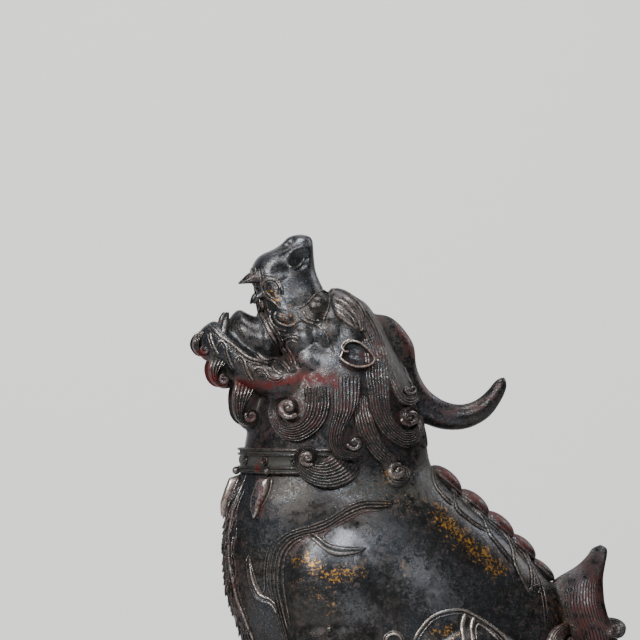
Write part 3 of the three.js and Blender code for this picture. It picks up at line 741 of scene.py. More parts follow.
def snail(outer, inner, boss, lay, side):
    """The rolled tip of a curl, from the end of its band in to its boss."""
    middle, radius, out = np.array(boss[:2]), boss[2], boss[3]
    before, end = ((np.array(outer[k]) + np.array(inner[k])) / 2 - middle for k in (-3, -1))
    spin = np.sign(before[0] * end[1] - before[1] * end[0])
    t = np.linspace(0, 1, 28)
    turn = math.atan2(end[1], end[0]) + spin * 2 * np.pi * (1.15 * t - 0.2)
    reach = max(np.linalg.norm(end), 1.3 * radius) * (1.12 - t * 0.9)
    points, normals = lay(middle + reach[:, None] * np.stack([np.cos(turn), np.sin(turn)], 1))
    points = points + normals * (out * (0.75 + 0.25 * t))[:, None]
    return tapered(points * [1, -1, 1], radius * (0.3 + 0.32 * np.sin(np.pi * t ** 0.7)), side=side, rows=70)


def curls(name, shape, lay):
    """A lock with its rolled tip on both flanks."""
    shape = dict(shape)
    boss = shape.pop("knob", None)
    distance = shape.pop("distance", None)
    if distance:
        lay = hanging_at(distance)
    pieces = []
    for side in SIDES:
        pieces.append(band(**shape, lay=lay, side=side))
        if boss:
            pieces.append(snail(shape["outer"], shape["inner"], boss, lay, side))
            pieces.append(knob(boss[:2], boss[2] * 0.72, boss[3] - boss[2] * 0.5, lay=lay, side=side))
    return make(name, pieces)


relief = []
for locks, lay in ((MANE, on_flank), (BEARD, on_flank), (NAPE, on_nape)):
    relief += [curls(name, shape, lay) for name, shape in locks.items()]

# Raised lines of the face: [radius, route, and the gap to a finer line beside it, where there is one].
FACE_LINES = [
    [1.1, [[-75.2, 286.4], [-74.6, 281.2], [-73.6, 274.9], [-72.9, 267.9], [-71.5, 261.6], [-68.8, 255.3],
           [-65.9, 250.4], [-63.9, 246.5]], -1.7],
    [0.7, [[-73.6, 286], [-72.3, 280.5], [-71.3, 273.5], [-70.6, 267.9], [-69.4, 262.3], [-66.7, 256],
           [-63.9, 251.8], [-61.9, 247.6]], 1.4],
    [0.7, [[-73.7, 279.8], [-70.9, 282.3], [-67.4, 282.3], [-63.9, 279.8], [-62.1, 276.3],
           [-61.4, 272.1]]],
    [0.8, [[-62.5, 265.1], [-65.3, 268.6], [-68.1, 270.7], [-70.6, 273.5], [-71.6, 277], [-70.2, 279.8],
           [-67.4, 280.5], [-64.6, 279.1], [-62.8, 275.6], [-62.6, 271.8]], -1.3],
    [0.8, [[-64.6, 264.4], [-65.3, 261.6], [-63.2, 258.8], [-59, 257.2], [-54.8, 258.1]]],
    [0.75, [[-67.4, 265.1], [-67.7, 261.6], [-66.3, 258.1], [-63.2, 255.6], [-59.7, 254.6]]],
    [0.75, [[-69.5, 265.1], [-69.9, 260.2], [-68.1, 255.3], [-64.6, 252.8], [-60.7, 252.3],
            [-56.9, 252.8]]],
    [0.7, [[-52.7, 249.7], [-55.5, 251.4], [-58.6, 251.4], [-60.9, 249.7], [-61.2, 246.9], [-59.7, 244.1],
           [-57.6, 240.9], [-56.9, 238.1]], -1.3],
    [0.7, [[-53.7, 248.3], [-56.2, 249.7], [-58.6, 249.1], [-59.1, 246.9], [-57.6, 244.1], [-55.8, 240.5],
           [-54.8, 236.7]]],
    [0.55, [[-54.4, 265.1], [-51.3, 266.9], [-48.1, 269.7], [-45.3, 272.8], [-42.1, 274.6], [-39, 272.8],
            [-38.1, 270.4]]],
    [0.6, [[-54.2, 263.7], [-52, 260.5], [-47.8, 258.4], [-43.9, 257.4], [-41.4, 258.1]]],
    [0.6, [[-38.1, 270.4], [-38.6, 266.5], [-39.7, 263], [-41.4, 259.5]]],
    [0.6, [[-51.6, 265.1], [-49.9, 261.6], [-46.4, 259.8], [-42.8, 259.5]]],
    [0.6, [[-54.4, 264], [-52.7, 261.2], [-48.5, 258.8], [-44.2, 257], [-40.7, 254.2], [-38.8, 250.4],
           [-37.2, 246.2], [-35.5, 243.4]]],
    [1, [[-98.3, 257.7], [-95.5, 254.6], [-92, 251.4], [-87.7, 248.3], [-83.5, 244.8], [-80, 241.9],
         [-76.5, 240.2], [-72.3, 239.3], [-68.1, 239.8]], -1.7],
    [0.8, [[-97.9, 253.9], [-96.5, 249], [-94.6, 244.8], [-93, 242.7]], -1.4],
    [0.8, [[-94.6, 246.5], [-93.4, 249], [-91.6, 249.3], [-89.8, 247.2], [-88.8, 243], [-87.2, 238.8],
           [-85.5, 235.6]], -1.4],
    [0.8, [[-85.5, 238.1], [-84.9, 240.9], [-82.8, 241.6], [-80.6, 239.5], [-79.3, 235.6], [-77.2, 231.8],
           [-75.8, 229.3]], -1.4],
    [0.8, [[-76.5, 233.5], [-75.5, 235.6], [-73, 236], [-70.2, 234.6], [-67.7, 231.4], [-64.6, 230.4],
           [-61.4, 232.1]], -1.4],
    [0.7, [[-66.7, 237.7], [-66.3, 235.3], [-64.2, 233.5], [-61.8, 232.5]], 1.3],
    [0.8, [[-74.8, 244.1], [-72.7, 241.6], [-69.5, 239.8], [-66.7, 240.5], [-63.9, 240.2], [-60.7, 238.4],
           [-57.6, 234.9]], -1.4],
    [0.65, [[-59, 287.5], [-57.5, 286.2], [-55.5, 285.8], [-53.3, 287], [-51.7, 289.4], [-50.6, 292.1]]],
]
BROW_LEAF = dict(
    outer=[[-38.3, 269.7], [-37.6, 273], [-34.4, 274.5], [-29.8, 273.3], [-25.6, 269.8], [-22.3, 265],
           [-21, 259.5], [-22.6, 254.3]],
    inner=[[-37.9, 268.7], [-37.2, 266.5], [-35.1, 262.3], [-31.6, 258.8], [-29.4, 257.3], [-27, 256],
           [-25, 254.8], [-23.2, 253.5]],
    strands=5, height=3.2, lift=0.6, swell_end=-0.4, groove=0.3)
face = []
for row in FACE_LINES:
    for side in SIDES:
        face += line(row, side, fine=0.5, lift=0.35)
relief.append(make("face_lines", face))
relief.append(make("brow_leaves", [band(**BROW_LEAF, side=side) for side in SIDES]))
relief.append(make("eyes", pair(EYE)))

# Flame ribbons: [strands, outer edge, inner edge].
FLAMES = [
    [4, [[-6, 169.1], [-13.7, 170.2], [-20.7, 170.5], [-26.4, 169.1], [-32.7, 165.4], [-39.7, 161.2],
         [-47, 158], [-54.5, 156], [-61.5, 153], [-66.3, 148.5], [-69, 141.5], [-69.8, 132],
         [-67.5, 121.4], [-63, 108], [-59, 93], [-55.5, 80]],
     [[-6, 167.2], [-13.7, 165.3], [-20.7, 164.6], [-27.8, 161.4], [-34.1, 157.9], [-39, 154.7],
      [-44, 153], [-50.3, 152], [-56, 149.6], [-60.7, 144], [-62.3, 136.5], [-62.2, 127], [-60.6, 117],
      [-58.6, 105], [-56.5, 94], [-54, 82]]],
    [2, [[-46, 153.5], [-43.5, 152.5], [-41.4, 150.5], [-39.7, 148.8], [-34.8, 146.9], [-27.8, 146.1],
         [-19.3, 146.1]],
     [[-50.2, 151.5], [-46.7, 149.5], [-42.5, 146], [-38.3, 142.8], [-32.7, 141.6], [-25.7, 142.8],
      [-19.3, 145.6]]],
    [2, [[-79, 143], [-79, 138], [-78.1, 129.1], [-75.1, 121.4], [-71.3, 118.6], [-67, 116.9],
         [-63.5, 111.6]],
     [[-78.6, 143], [-77.4, 138], [-75.6, 131], [-73.2, 125.5], [-71, 123], [-67, 121.5], [-62.5, 117]]],
]
# Fine edges beside the ribbons, and the folds of the haunch, in rows like those of the face.
FLANK_LINES = [
    [0.5, [[-6.7, 166.3], [-13.7, 165], [-20.7, 164.2], [-27.8, 160.9], [-34.1, 157.4], [-39, 154.4],
           [-41.2, 151.8], [-39.9, 149.2], [-34.8, 147.2], [-27.8, 146.4], [-19.3, 146.1]]],
    [0.5, [[-78.8, 142.8], [-76.5, 134.8], [-73.7, 126.3], [-71.8, 123.6], [-70.6, 126.3], [-70.7, 133.4],
           [-69.8, 141.4], [-66.8, 149.5]]],
    [0.45, [[-50.5, 150.8], [-55.8, 148.2], [-59.8, 143], [-61.2, 136], [-61, 127], [-59.4, 117],
            [-57.4, 106]]],
    [0.8, [[3.5, 92], [3.9, 99.5], [6.9, 105.1], [12.3, 111.2], [19.2, 114.3], [27.6, 115.2],
           [33.7, 112.8], [39.9, 108.9], [46, 104.3], [51, 99], [56, 91], [58, 82]], -2],
    [1.3, [[29.7, 113.5], [28.4, 109.7], [28, 105.9], [29, 99], [31, 92]]],
    [1.1, [[34.2, 111.8], [32.9, 108.2], [32.7, 103], [34.8, 95]]],
    [0.7, [[35.3, 100], [35.1, 106], [37, 107.6], [41, 104.6], [47, 99]]],
    [0.8, [[-9.5, 98], [-9.8, 100.8], [-7.5, 102.8], [-4.2, 102.6], [-2.4, 100.4], [-3, 97.6],
           [-5.4, 96.6]], 1.3],
]
flames = []
for side in SIDES:
    for strands, outer, inner in FLAMES:
        flames.append(band(outer, inner, strands, height=2.3, groove=0.6, side=side, swell_end=0, fade=4,
                           fade_out=2))
    for row in FLANK_LINES:
        flames += line(row, side, fine=0.45)
    flames.append(knob([-38.3, 105.3], 1.5, 0.2, side=side))
relief.append(make("flames", flames))

# The ear in the drawing plane: its rim, and the line of its inner scroll.
EAR_RIM = [
    [-33, 240.9], [-31.8, 244.2], [-31.3, 246.4], [-30.2, 248.2], [-27.6, 249.3], [-24.3, 248.8],
    [-20.7, 246.4], [-18.2, 243.5], [-16.3, 240.5], [-17.4, 238], [-21.1, 236.6], [-25.3, 236.6],
    [-29.5, 238.2], [-33, 240.9],
]
EAR_CURL = [
    [-26, 249.2], [-29, 248.9], [-31.3, 247.5], [-32, 245.2], [-31, 243.4], [-29.4, 243.2],
    [-28.8, 244.6],
]
EAR_MIDDLE = np.array([-24.8, 242.8])
# The cup of the ear, from behind its rim round to its middle: [share of the way to the rim, how proud].
EAR_SECTION = [
    [0.55, -2.5], [0.8, 0], [0.97, 4.5], [1.03, 6.4], [1, 7], [0.94, 6.4], [0.82, 3.5], [0.55, 1.6],
    [0.25, 1.2], [0, 1.1],
]
EAR_LIP = 6.9
EAR_LIP_POINTS = 60


def on_ear(u, share, out):
    """Points a share of the way from the middle of the near ear to its rim, standing off the head."""
    rim = along(EAR_RIM, u)
    lean = np.clip((rim[:, 0] + 33) / 17, 0, 1)
    spots = EAR_MIDDLE + (rim - EAR_MIDDLE) * share[:, None]
    points, normals = on_flank(spots)
    _, steady = on_flank(np.tile(EAR_MIDDLE, (len(spots), 1)))
    away = (normals * 0.3 + steady * 0.7) * (out * (0.55 + 0.45 * lean))[:, None]
    return points + 0.2 * away + 0.8 * (away @ TO_VIEWER)[:, None] * TO_VIEWER


def ear(side):
    """A cupped leaf that stands off the head, open outwards."""
    def surface(u, v):
        points = on_ear(u, *along(EAR_SECTION, v).T)
        points[:, 1] *= -side
        return points

    return grid(96, 44, surface)


relief.append(make("ears", [ear(side) for side in SIDES]))
rim_share = np.linspace(0, 1, EAR_LIP_POINTS)
ear_lip = on_ear(rim_share, np.ones(EAR_LIP_POINTS), np.full(EAR_LIP_POINTS, EAR_LIP)) * [1, -1, 1]
ear_rims = [tapered(ear_lip, [0.55] * EAR_LIP_POINTS, side=side, columns=8, rows=160) for side in SIDES]
ear_rims += [thread(EAR_CURL, 0.5, lift=5, side=side) for side in SIDES]
relief.append(make("ear_rims", ear_rims))

# Teeth: [route in space, radii].
TEETH = [
    [[(-74, 9, 281.6), (-77.6, 9.5, 280.7), (-80.4, 10, 279.5), (-83.4, 10, 278.2)], [3.6, 2.7, 1.5, 0.3]],
    [[(-92.5, 10.5, 253), (-91.6, 10, 258), (-91.2, 9.5, 261), (-90.2, 9, 264)], [2.4, 2.2, 1.7, 0.7]],
    [[(-71, 9, 274), (-74.5, 9, 271.8), (-76, 9, 270), (-77.4, 9, 268)], [2.2, 1.9, 1.4, 0.4]],
]
relief.append(make("teeth", [tapered(*shape, side=side) for shape in TEETH for side in SIDES]))

# A claw from its root to its tip: [distance from the front of the paw, height].
CLAW = [[5, 18.4], [1, 17.8], [-1.8, 16], [-3.6, 13.2]]
claws = []
for shape in PAWS:
    front = shape["heel"][0] - 44.5 * shape["length"]
    for aside in (-10.8, -3.6, 3.6, 10.8):
        y = shape["heel"][1] + aside
        route = [(front + ahead, y, z) for ahead, z in CLAW]
        claws += [tapered(route, [2, 1.7, 1.1, 0.3], side=side) for side in SIDES]
relief.append(make("claws", claws))

# The collar's ellipse: its middle, and how far it reaches along and across.
COLLAR_X = -40.5
COLLAR_REACH = (42.5, 37.5)
# The collar's section: [height, how proud].
COLLAR_SECTION = [
    [183.9, -4], [183.9, 0.6], [184.1, 1.3], [184.6, 1.6], [185.1, 1.3], [185.3, 0.4], [186.2, 0.4],
    [186.4, 1.3], [186.9, 1.6], [187.4, 1.3], [187.6, 0.2], [192.6, 0.2], [192.8, 1.3], [193.3, 1.6],
    [193.8, 1.3], [194, 0.4], [195, 0.4], [195.2, 1.3], [195.7, 1.6], [196.2, 1.3], [196.4, 0.6],
    [196.4, -4],
]


def on_collar(degrees, out):
    turn = math.radians(degrees)
    x = COLLAR_X - (COLLAR_REACH[0] + out) * math.cos(turn)
    return x, (COLLAR_REACH[1] + out) * math.sin(turn)


def collar_hoop():
    section = np.array(COLLAR_SECTION + COLLAR_SECTION[:1])

    def surface(u, v):
        at = np.arange(len(section)) / (len(section) - 1)
        height, proud = (np.interp(v, at, section[:, k]) for k in (0, 1))
        turn = 2 * np.pi * u
        proud = proud - 6 * np.clip((0.06 - np.cos(turn)) / 0.25, 0, 1)
        return np.stack([
            COLLAR_X - (COLLAR_REACH[0] + proud) * np.cos(turn),
            (COLLAR_REACH[1] + proud) * np.sin(turn),
            height,
        ], 1)

    return grid(160, len(section) - 1, surface)


def ring(middle, facing, radius, thickness):
    def surface(u, v):
        turn, tube = 2 * np.pi * u, 2 * np.pi * v
        reach = radius + thickness * np.cos(tube)
        return np.stack([thickness * np.sin(tube), reach * np.cos(turn), reach * np.sin(turn)], 1)

    bm = grid(20, 8, surface)
    bmesh.ops.rotate(bm, cent=(0, 0, 0), matrix=Matrix.Rotation(facing, 3, "Z"), verts=bm.verts)
    bmesh.ops.translate(bm, vec=middle, verts=bm.verts)
    return bm


def leaf_edges(width, top, length, across):
    """The two edges of a hanging leaf."""
    t = np.linspace(0, 1, 9)
    half = width * np.sin(np.pi * t ** 0.75) ** 0.8 + 0.15
    heights = top - length * t
    return np.stack([across - half, heights], 1), np.stack([across + half, heights], 1)


# Ring studs, in degrees round from the front.
STUD_TURNS = (-64, -40.5, -17, 17, 40.5, 64)
STUD_HEIGHT = 190.2
collar = [collar_hoop()]
for degrees in STUD_TURNS:
    x, y = on_collar(degrees, 0.9)
    facing = math.atan2(y / COLLAR_REACH[1] ** 2, (x - COLLAR_X) / COLLAR_REACH[0] ** 2)
    collar.append(ring((x, y, STUD_HEIGHT), facing, radius=1.7, thickness=0.5))
    collar.append(ball((x, y, STUD_HEIGHT), (0.8, 0.8, 0.8), columns=12, rows=8))
relief.append(make("collar", collar))

DROPS_ACROSS = (-26.2, 0, 26.2)
drops = []
for across in DROPS_ACROSS:
    first, last = leaf_edges(3.3, 183.4, 22, across)
    drops.append(band(first, last, strands=1, height=4.4, lay=on_chest, groove=0, fade=4, swell_end=-0.4))
    for edge in (first, last):
        drops.append(thread(edge, 0.5, lay=on_chest, lift=0.3))
    drops.append(knob([across, 184.4], 2, 2.4, lay=on_chest, flat=1))
relief.append(make("collar_drops", drops))

# The spine's domed plates, which overlap like tiles: [x, z, half length, half width, half thickness].
PLATES = [
    [19.4, 179.6, 10.4, 8.5, 5.5], [33.4, 167.8, 10.2, 8.6, 5.5], [46.2, 157, 10, 8.4, 5.3],
    [57.6, 146.1, 9.4, 7.8, 5], [68, 135.2, 8.6, 6.6, 3.4],
]
# Pointed lobes beside them: [outer edge, inner edge].
SPINE_LOBES = [
    [[[13.2, 186.2], [12.9, 182.4], [15, 176.3], [19.2, 170.9], [23.2, 167.2]],
     [[17.1, 185.1], [19.2, 181.6], [22.3, 177], [23.6, 172.4], [23.8, 167.9]]],
    [[[23.8, 170.2], [25.5, 165.2], [29.9, 161], [35.3, 157.1], [40, 154.1]],
     [[27.6, 171.3], [31.4, 167.9], [35.3, 164], [38.3, 160.2], [40.5, 154.8]]],
    [[[39.9, 157.1], [41.8, 152.5], [46, 147.2], [49.8, 142.6], [53.3, 138.4]],
     [[43.7, 158.7], [47.1, 154.8], [50.6, 150.3], [52.9, 144.9], [53.8, 139.2]]],
    [[[53.3, 144.1], [54, 138.8], [56.7, 132.6], [59.4, 127.3], [62.1, 122.7]],
     [[57.5, 144.9], [60.1, 140.3], [62.1, 134.9], [62.8, 128.8], [62.7, 123.5]]],
]
SPINE_LINES = [
    [0.6, [[16, 185.5], [23, 177.5], [33.7, 166.6], [42.9, 158], [52, 149.6], [60.5, 140.5],
           [66.5, 131.1], [69.7, 120], [70.9, 108.2]], -1.5],
    [0.6, [[61, 124], [62.8, 126.4], [65.6, 127.2], [67, 125.4], [65.8, 123.4]]],
]
# The slope of the back, and the points along a plate's rim.
RIDGE_TILT = 0.7
RIM_POINTS = 12
spine = []
for x, z, length, width, thickness in PLATES:
    spine.append(ball((x, 0, z), (length, width, thickness), RIDGE_TILT, columns=48, rows=30))
    for side in SIDES:
        rim = [(x + length * a * math.cos(RIDGE_TILT), side * width * math.sqrt(1 - a * a) * 1.02,
                z - length * a * math.sin(RIDGE_TILT)) for a in np.linspace(-0.6, 1, RIM_POINTS)]
        spine.append(tapered(rim, [0.7] * RIM_POINTS, columns=8, rows=40))
for side in SIDES:
    for outer, inner in SPINE_LOBES:
        spine += [thread(outer, 0.65, side=side), thread(inner, 0.65, side=side)]
        spine += [thread(beside(outer, 1.2), 0.4, side=side), thread(beside(inner, 1.3), 0.4, side=side)]
    for row in SPINE_LINES:
        spine += line(row, side, fine=0.45)
relief.append(make("spine_plates", spine))


def curl_edges(middle, radius, start, turns, spin):
    """The two edges of a round curl that winds in from start, in turns of a circle."""
    t = np.linspace(0, 1, 16)
    turn = 2 * np.pi * (start + spin * turns * t)
    ray = np.stack([np.cos(turn), np.sin(turn)], 1)
    outer = radius * (1 - 0.74 * t ** 1.5)[:, None]
    inner = radius * (0.4 - 0.26 * t)[:, None]
    return np.array(middle) + ray * outer, np.array(middle) + ray * inner


# Curls at the root of the tail: [middle, radius, start, turns, spin, strands].
TAIL_CURLS = [
    [(81.5, 98.5), 12, 0.62, 0.95, -1, 8], [(102.2, 104.7), 7, 0.3, 0.9, -1, 4],
    [(98, 84), 9.5, 0.3, 0.95, -1, 6], [(83, 74), 9, 0.7, 0.9, 1, 6],
]
TAIL_RIBS = 56
tail_skin = [[height, front - 0.6, back + 0.4, width + 0.5] for height, front, back, width in TAIL]
tail_flame = skin(level_rings(tail_skin), 8 * TAIL_RIBS, 96, ribs=TAIL_RIBS, rib_height=0.022)
relief.append(make("tail_flame", [tail_flame]))
for number, (middle, radius, start, turns, spin, strands) in enumerate(TAIL_CURLS):
    first, last = curl_edges(middle, radius, start, turns, spin)
    boss = [*middle, radius * 0.17, 3]
    shape = dict(outer=first, inner=last, strands=strands, height=2.6, lift=0.8, knob=boss)
    relief.append(curls(f"tail_curl_{number + 1}", shape, on_flank))

CHEST_EDGE = [
    [-79.7, 182.5], [-82.5, 175.4], [-85.3, 168.4], [-87, 160.7], [-88.2, 152.3], [-88.1, 140.4],
    [-86.3, 129.8], [-83.9, 119.3], [-80.4, 110.9], [-76.2, 100.4], [-71, 88],
]
relief.append(make("chest_edges", [thread(CHEST_EDGE, 0.75, side=side) for side in SIDES]))


def chest_hair():
    """Short tufts in uneven rows down the chest, each lifted a little at its tip."""
    chance = np.random.default_rng(7)
    tufts = []
    for height in np.arange(176, 84, -4.4):
        for across in np.arange(-15, 15.1, 3):
            x = across + chance.uniform(-1, 1)
            z = height + chance.uniform(-1.5, 1.5)
            length = chance.uniform(6, 8.5)
            route = [[x, z], [x * 1.02, z - length * 0.5], [x * 1.05 + chance.uniform(-0.6, 0.6), z - length]]
            flick = chance.uniform(0.4, 1.8)
            tufts.append(thread(route, 0.5, lay=on_chest, lift=0.1, step=1.2, columns=6, flick=flick))
    return tufts


relief.append(make("chest_hair", chest_hair()))

# Where lacquer is left: [strength, reach, route], the route in the drawing plane.
LACQUER = [
    [0.74, 3, [[-84, 229.5], [-76, 227.5], [-68, 228], [-60, 229], [-52, 232]]],
    [0.7, 2, [[-36, 231.5], [-34.5, 227]]], [0.68, 3.4, [[-54, 231.5], [-46, 231.5], [-37, 230]]],
    [0.75, 4, [[-103, 243], [-97, 232], [-92, 227]]], [0.4, 8, [[-86, 222], [-78, 210]]],
    [0.36, 22, [[-62, 212], [-40, 214], [-12, 212]]], [0.4, 7, [[-26, 238], [-14, 246], [-12, 262]]],
    [0.6, 3.5, [[-3, 256], [6, 240], [10, 225]]], [0.28, 12, [[0, 240], [20, 213], [46, 228]]],
    [0.66, 3.6, [[18, 186], [45, 163.5], [69, 139]]], [0.5, 20, [[88, 100], [97, 130]]],
    [0.95, 1.5, [[-74, 186], [-73, 190]]], [0.5, 2.5, [[-72.5, 181], [-72.5, 166]]],
    [0.36, 3, [[-20, 167], [-45, 155], [-62, 146]]], [0.45, 5, [[-62, 244], [-54, 239]]],
    [0.2, 5, [[-76, 281], [-70, 262], [-64, 247]]], [0.3, 9, [[-90, 168], [-88, 110]]],
    [0.25, 7, [[-34, 270], [-24, 262]]], [0.35, 4, [[-58, 262], [-55, 258]]],
]
# The same for gilding.
GILDING = [
    [0.57, 5.5, [[16, 164], [22, 155.5], [30.5, 149.5], [38, 143.5], [45, 136]]],
    [0.34, 5, [[14, 158], [26, 147]]],
    [0.52, 5, [[-55, 140], [-49.5, 141.5], [-43.9, 137], [-37, 133.5], [-30, 136], [-24, 137.5]]],
    [0.32, 6, [[-53, 130], [-44, 126], [-38, 119]]], [0.5, 3, [[-68, 274], [-64.5, 271]]],
    [0.34, 5, [[-60, 261], [-54, 259]]], [0.36, 3, [[-2, 140], [1, 132]]],
    [0.46, 5, [[13, 103], [24, 108]]], [0.4, 3, [[-11, 184], [-8, 181]]],
    [0.34, 5, [[75, 118], [78, 110]]], [0.24, 9, [[-14, 172], [8, 172], [30, 152]]],
    [0.3, 5, [[73, 122], [76, 112]]], [0.34, 3, [[-16, 240], [-18, 238]]],
]
# Bulges that hands have rubbed bright, which also carry painted highlights: the metal is made brighter where
# highlights should show.
RUBBED_HIGHLIGHTS = [
    [0.8, 6.5, [[-31, 151], [-21, 150]]], [0.8, 4, [[-26, 139.5], [-19, 142]]],
    [0.8, 8, [[4, 135], [13, 128], [18, 120]]], [0.45, 7, [[-29, 122], [-22, 116]]],
    [0.6, 3.5, [[-58, 301], [-52, 300]]], [0.75, 3.6, [[-73, 290], [-67, 294]]],
    [0.5, 3, [[-71, 284], [-68, 282]]], [0.6, 2.4, [[-51, 252], [-49, 245]]],
    [0.6, 2.4, [[-46, 238.5], [-41, 240.5]]], [0.7, 1.6, [[-37, 265], [-36, 270], [-33, 274]]],
    [0.5, 2.5, [[-74, 262], [-71, 256]]], [0.5, 3, [[-43, 198], [-42, 198]]],
    [0.5, 4, [[86, 134], [90, 120]]], [0.55, 5, [[10, 101], [22, 98]]],
    [0.6, 2, [[-72.7, 180], [-72.7, 172]]], [0.4, 3, [[-86, 252], [-78, 246]]],
    [0.5, 6, [[50, 88], [58, 70]]], [0.4, 10, [[-50, 70], [-50, 30]]], [0.5, 10, [[10, 85], [28, 70]]],
]
# Where dust and grey-green patina lie thick. The last row also lays a painted shadow, as dust, beside the
# inner edge of the cheek curl.
PATINA_AND_SHADOW = [
    [0.75, 6, [[-14, 262], [-8, 244], [-3, 226]]],
    [0.75, 7, [[11, 200], [12, 184], [8, 176], [-12, 178], [-24, 178]]],
    [0.3, 8, [[-46, 250], [-36, 252], [-28, 262]]], [0.4, 4, [[-42, 202], [-36, 196]]],
    [0.15, 7, [[20, 182], [44, 160], [68, 136], [72, 116]]], [0.3, 7, [[-70, 150], [-76, 120]]],
    [0.35, 5, [[-84, 256], [-74, 252]]], [0.3, 9, [[58, 122], [66, 104]]],
    [0.5, 7, [[-66, 180], [-54, 172]]], [0.6, 3, [[-54, 226.5], [-52, 220], [-54, 214]]],
]


def field(regions, spots):
    """How strongly spots of the drawing plane lie in one of the regions, from 0 to 1."""
    values = np.zeros(len(spots))
    for strength, reach, route in regions:
        values = np.maximum(values, strength * np.exp(-0.7 * (distance_to(route, spots) / reach) ** 2))
    return values


# How proud of its surroundings a crest stands, or how deep a hollow lies, where its mark is full.
FULL_RELIEF = 0.5


def store(mesh, name, values):
    mesh.attributes.new(name, "FLOAT", "POINT").data.foreach_set("value", values.astype(np.float32))


def weathered(mesh, rounds, wear):
    """Marks crests and hollows, and where lacquer, gilding, thick patina (with one painted shadow) and rubbed
    places (with painted highlights) lie.
    """
    points, normals = points_of(mesh), values_of(mesh.vertex_normals, "vector", 3)
    proud = ((points - relaxed(points, edges_of(mesh), rounds)) * normals).sum(1) / FULL_RELIEF
    store(mesh, "relief", np.clip(np.where(proud > 0, proud * wear, proud), -1, 1))
    spots = in_view(points)
    for name, regions in (("lacquer", LACQUER), ("gilding", GILDING), ("patina_and_shadow", PATINA_AND_SHADOW), ("rubbed_highlight", RUBBED_HIGHLIGHTS)):
        store(mesh, name, field(regions, spots))


class Shading:
    """Short names for the nodes of one material."""

    def __init__(self, name):
        self.material = bpy.data.materials.new(name)
        self.material.use_nodes = True
        self.tree = self.material.node_tree
        self.shader = self.tree.nodes["Principled BSDF"]
        self.place = self.node("ShaderNodeTexCoord").outputs["Object"]

    def node(self, kind, inputs=(), **settings):
        made = self.tree.nodes.new(kind)
        for name, value in settings.items():
            setattr(made, name, value)
        self.fill(made, inputs)
        return made

    def fill(self, node, inputs):
        for key, value in dict(inputs).items():
            if isinstance(value, bpy.types.NodeSocket):
                self.tree.links.new(value, node.inputs[key])
            else:
                node.inputs[key].default_value = value

    def noise(self, scale, detail, rough, bend=0.0):
        inputs = {"Vector": self.place, "Scale": scale, "Detail": detail, "Roughness": rough}
        return self.node("ShaderNodeTexNoise", {**inputs, "Distortion": bend}).outputs[0]

    def mark(self, name):
        return self.node("ShaderNodeAttribute", attribute_name=name).outputs["Fac"]

    def math(self, operation, a, b):
        return self.node("ShaderNodeMath", {0: a, 1: b}, operation=operation).outputs[0]

    def span(self, value, low, high, to_low=0.0, to_high=1.0):
        limits = {"Value": value, "From Min": low, "From Max": high, "To Min": to_low, "To Max": to_high}
        return self.node("ShaderNodeMapRange", limits).outputs[0]

    def mix(self, share, a, b):
        return self.node("ShaderNodeMix", {0: share, 6: a, 7: b}, data_type="RGBA").outputs[2]

    def mix_values(self, share, a, b):
        return self.node("ShaderNodeMix", {0: share, 2: a, 3: b}, data_type="FLOAT").outputs[0]

    def cover(self, share, colour, metal, rough, opacity=1):
        """Lays a finish over what is there, where share says. Opacity thins its colour only."""
        tint = share if opacity == 1 else self.math("MULTIPLY", share, opacity)
        self.colour = self.mix(tint, self.colour, colour)
        self.metal = self.mix_values(share, self.metal, metal)
        self.rough = self.mix_values(share, self.rough, rough)

    def bump(self, height, strength, distance, under=None):
        inputs = {"Height": height, "Strength": strength, "Distance": distance}
        if under:
            inputs["Normal"] = under
        return self.node("ShaderNodeBump", inputs).outputs[0]


# Linear colours of the finish, as a darker and a lighter one where they vary.
BROWN = (0.0085, 0.008, 0.0078, 1), (0.026, 0.0238, 0.022, 1)
GREY = (0.01, 0.011, 0.0125, 1), (0.034, 0.037, 0.041, 1)
BARE_BRONZE = (0.23, 0.2, 0.18, 1)
# Bright rubbed metal, which paints highlights on the bulges where it lies.
HANDLED_HIGHLIGHT_BRONZE = (0.088, 0.092, 0.102, 1)
# Dust, which also paints shade into grooves and hollows.
DUST_AND_SHADE = (0.009, 0.009, 0.008, 1), (0.032, 0.033, 0.026, 1)
RED_LACQUER = (0.022, 0.0058, 0.005, 1), (0.04, 0.0008, 0.0004, 1)
GOLD = (0.27, 0.13, 0.02, 1)


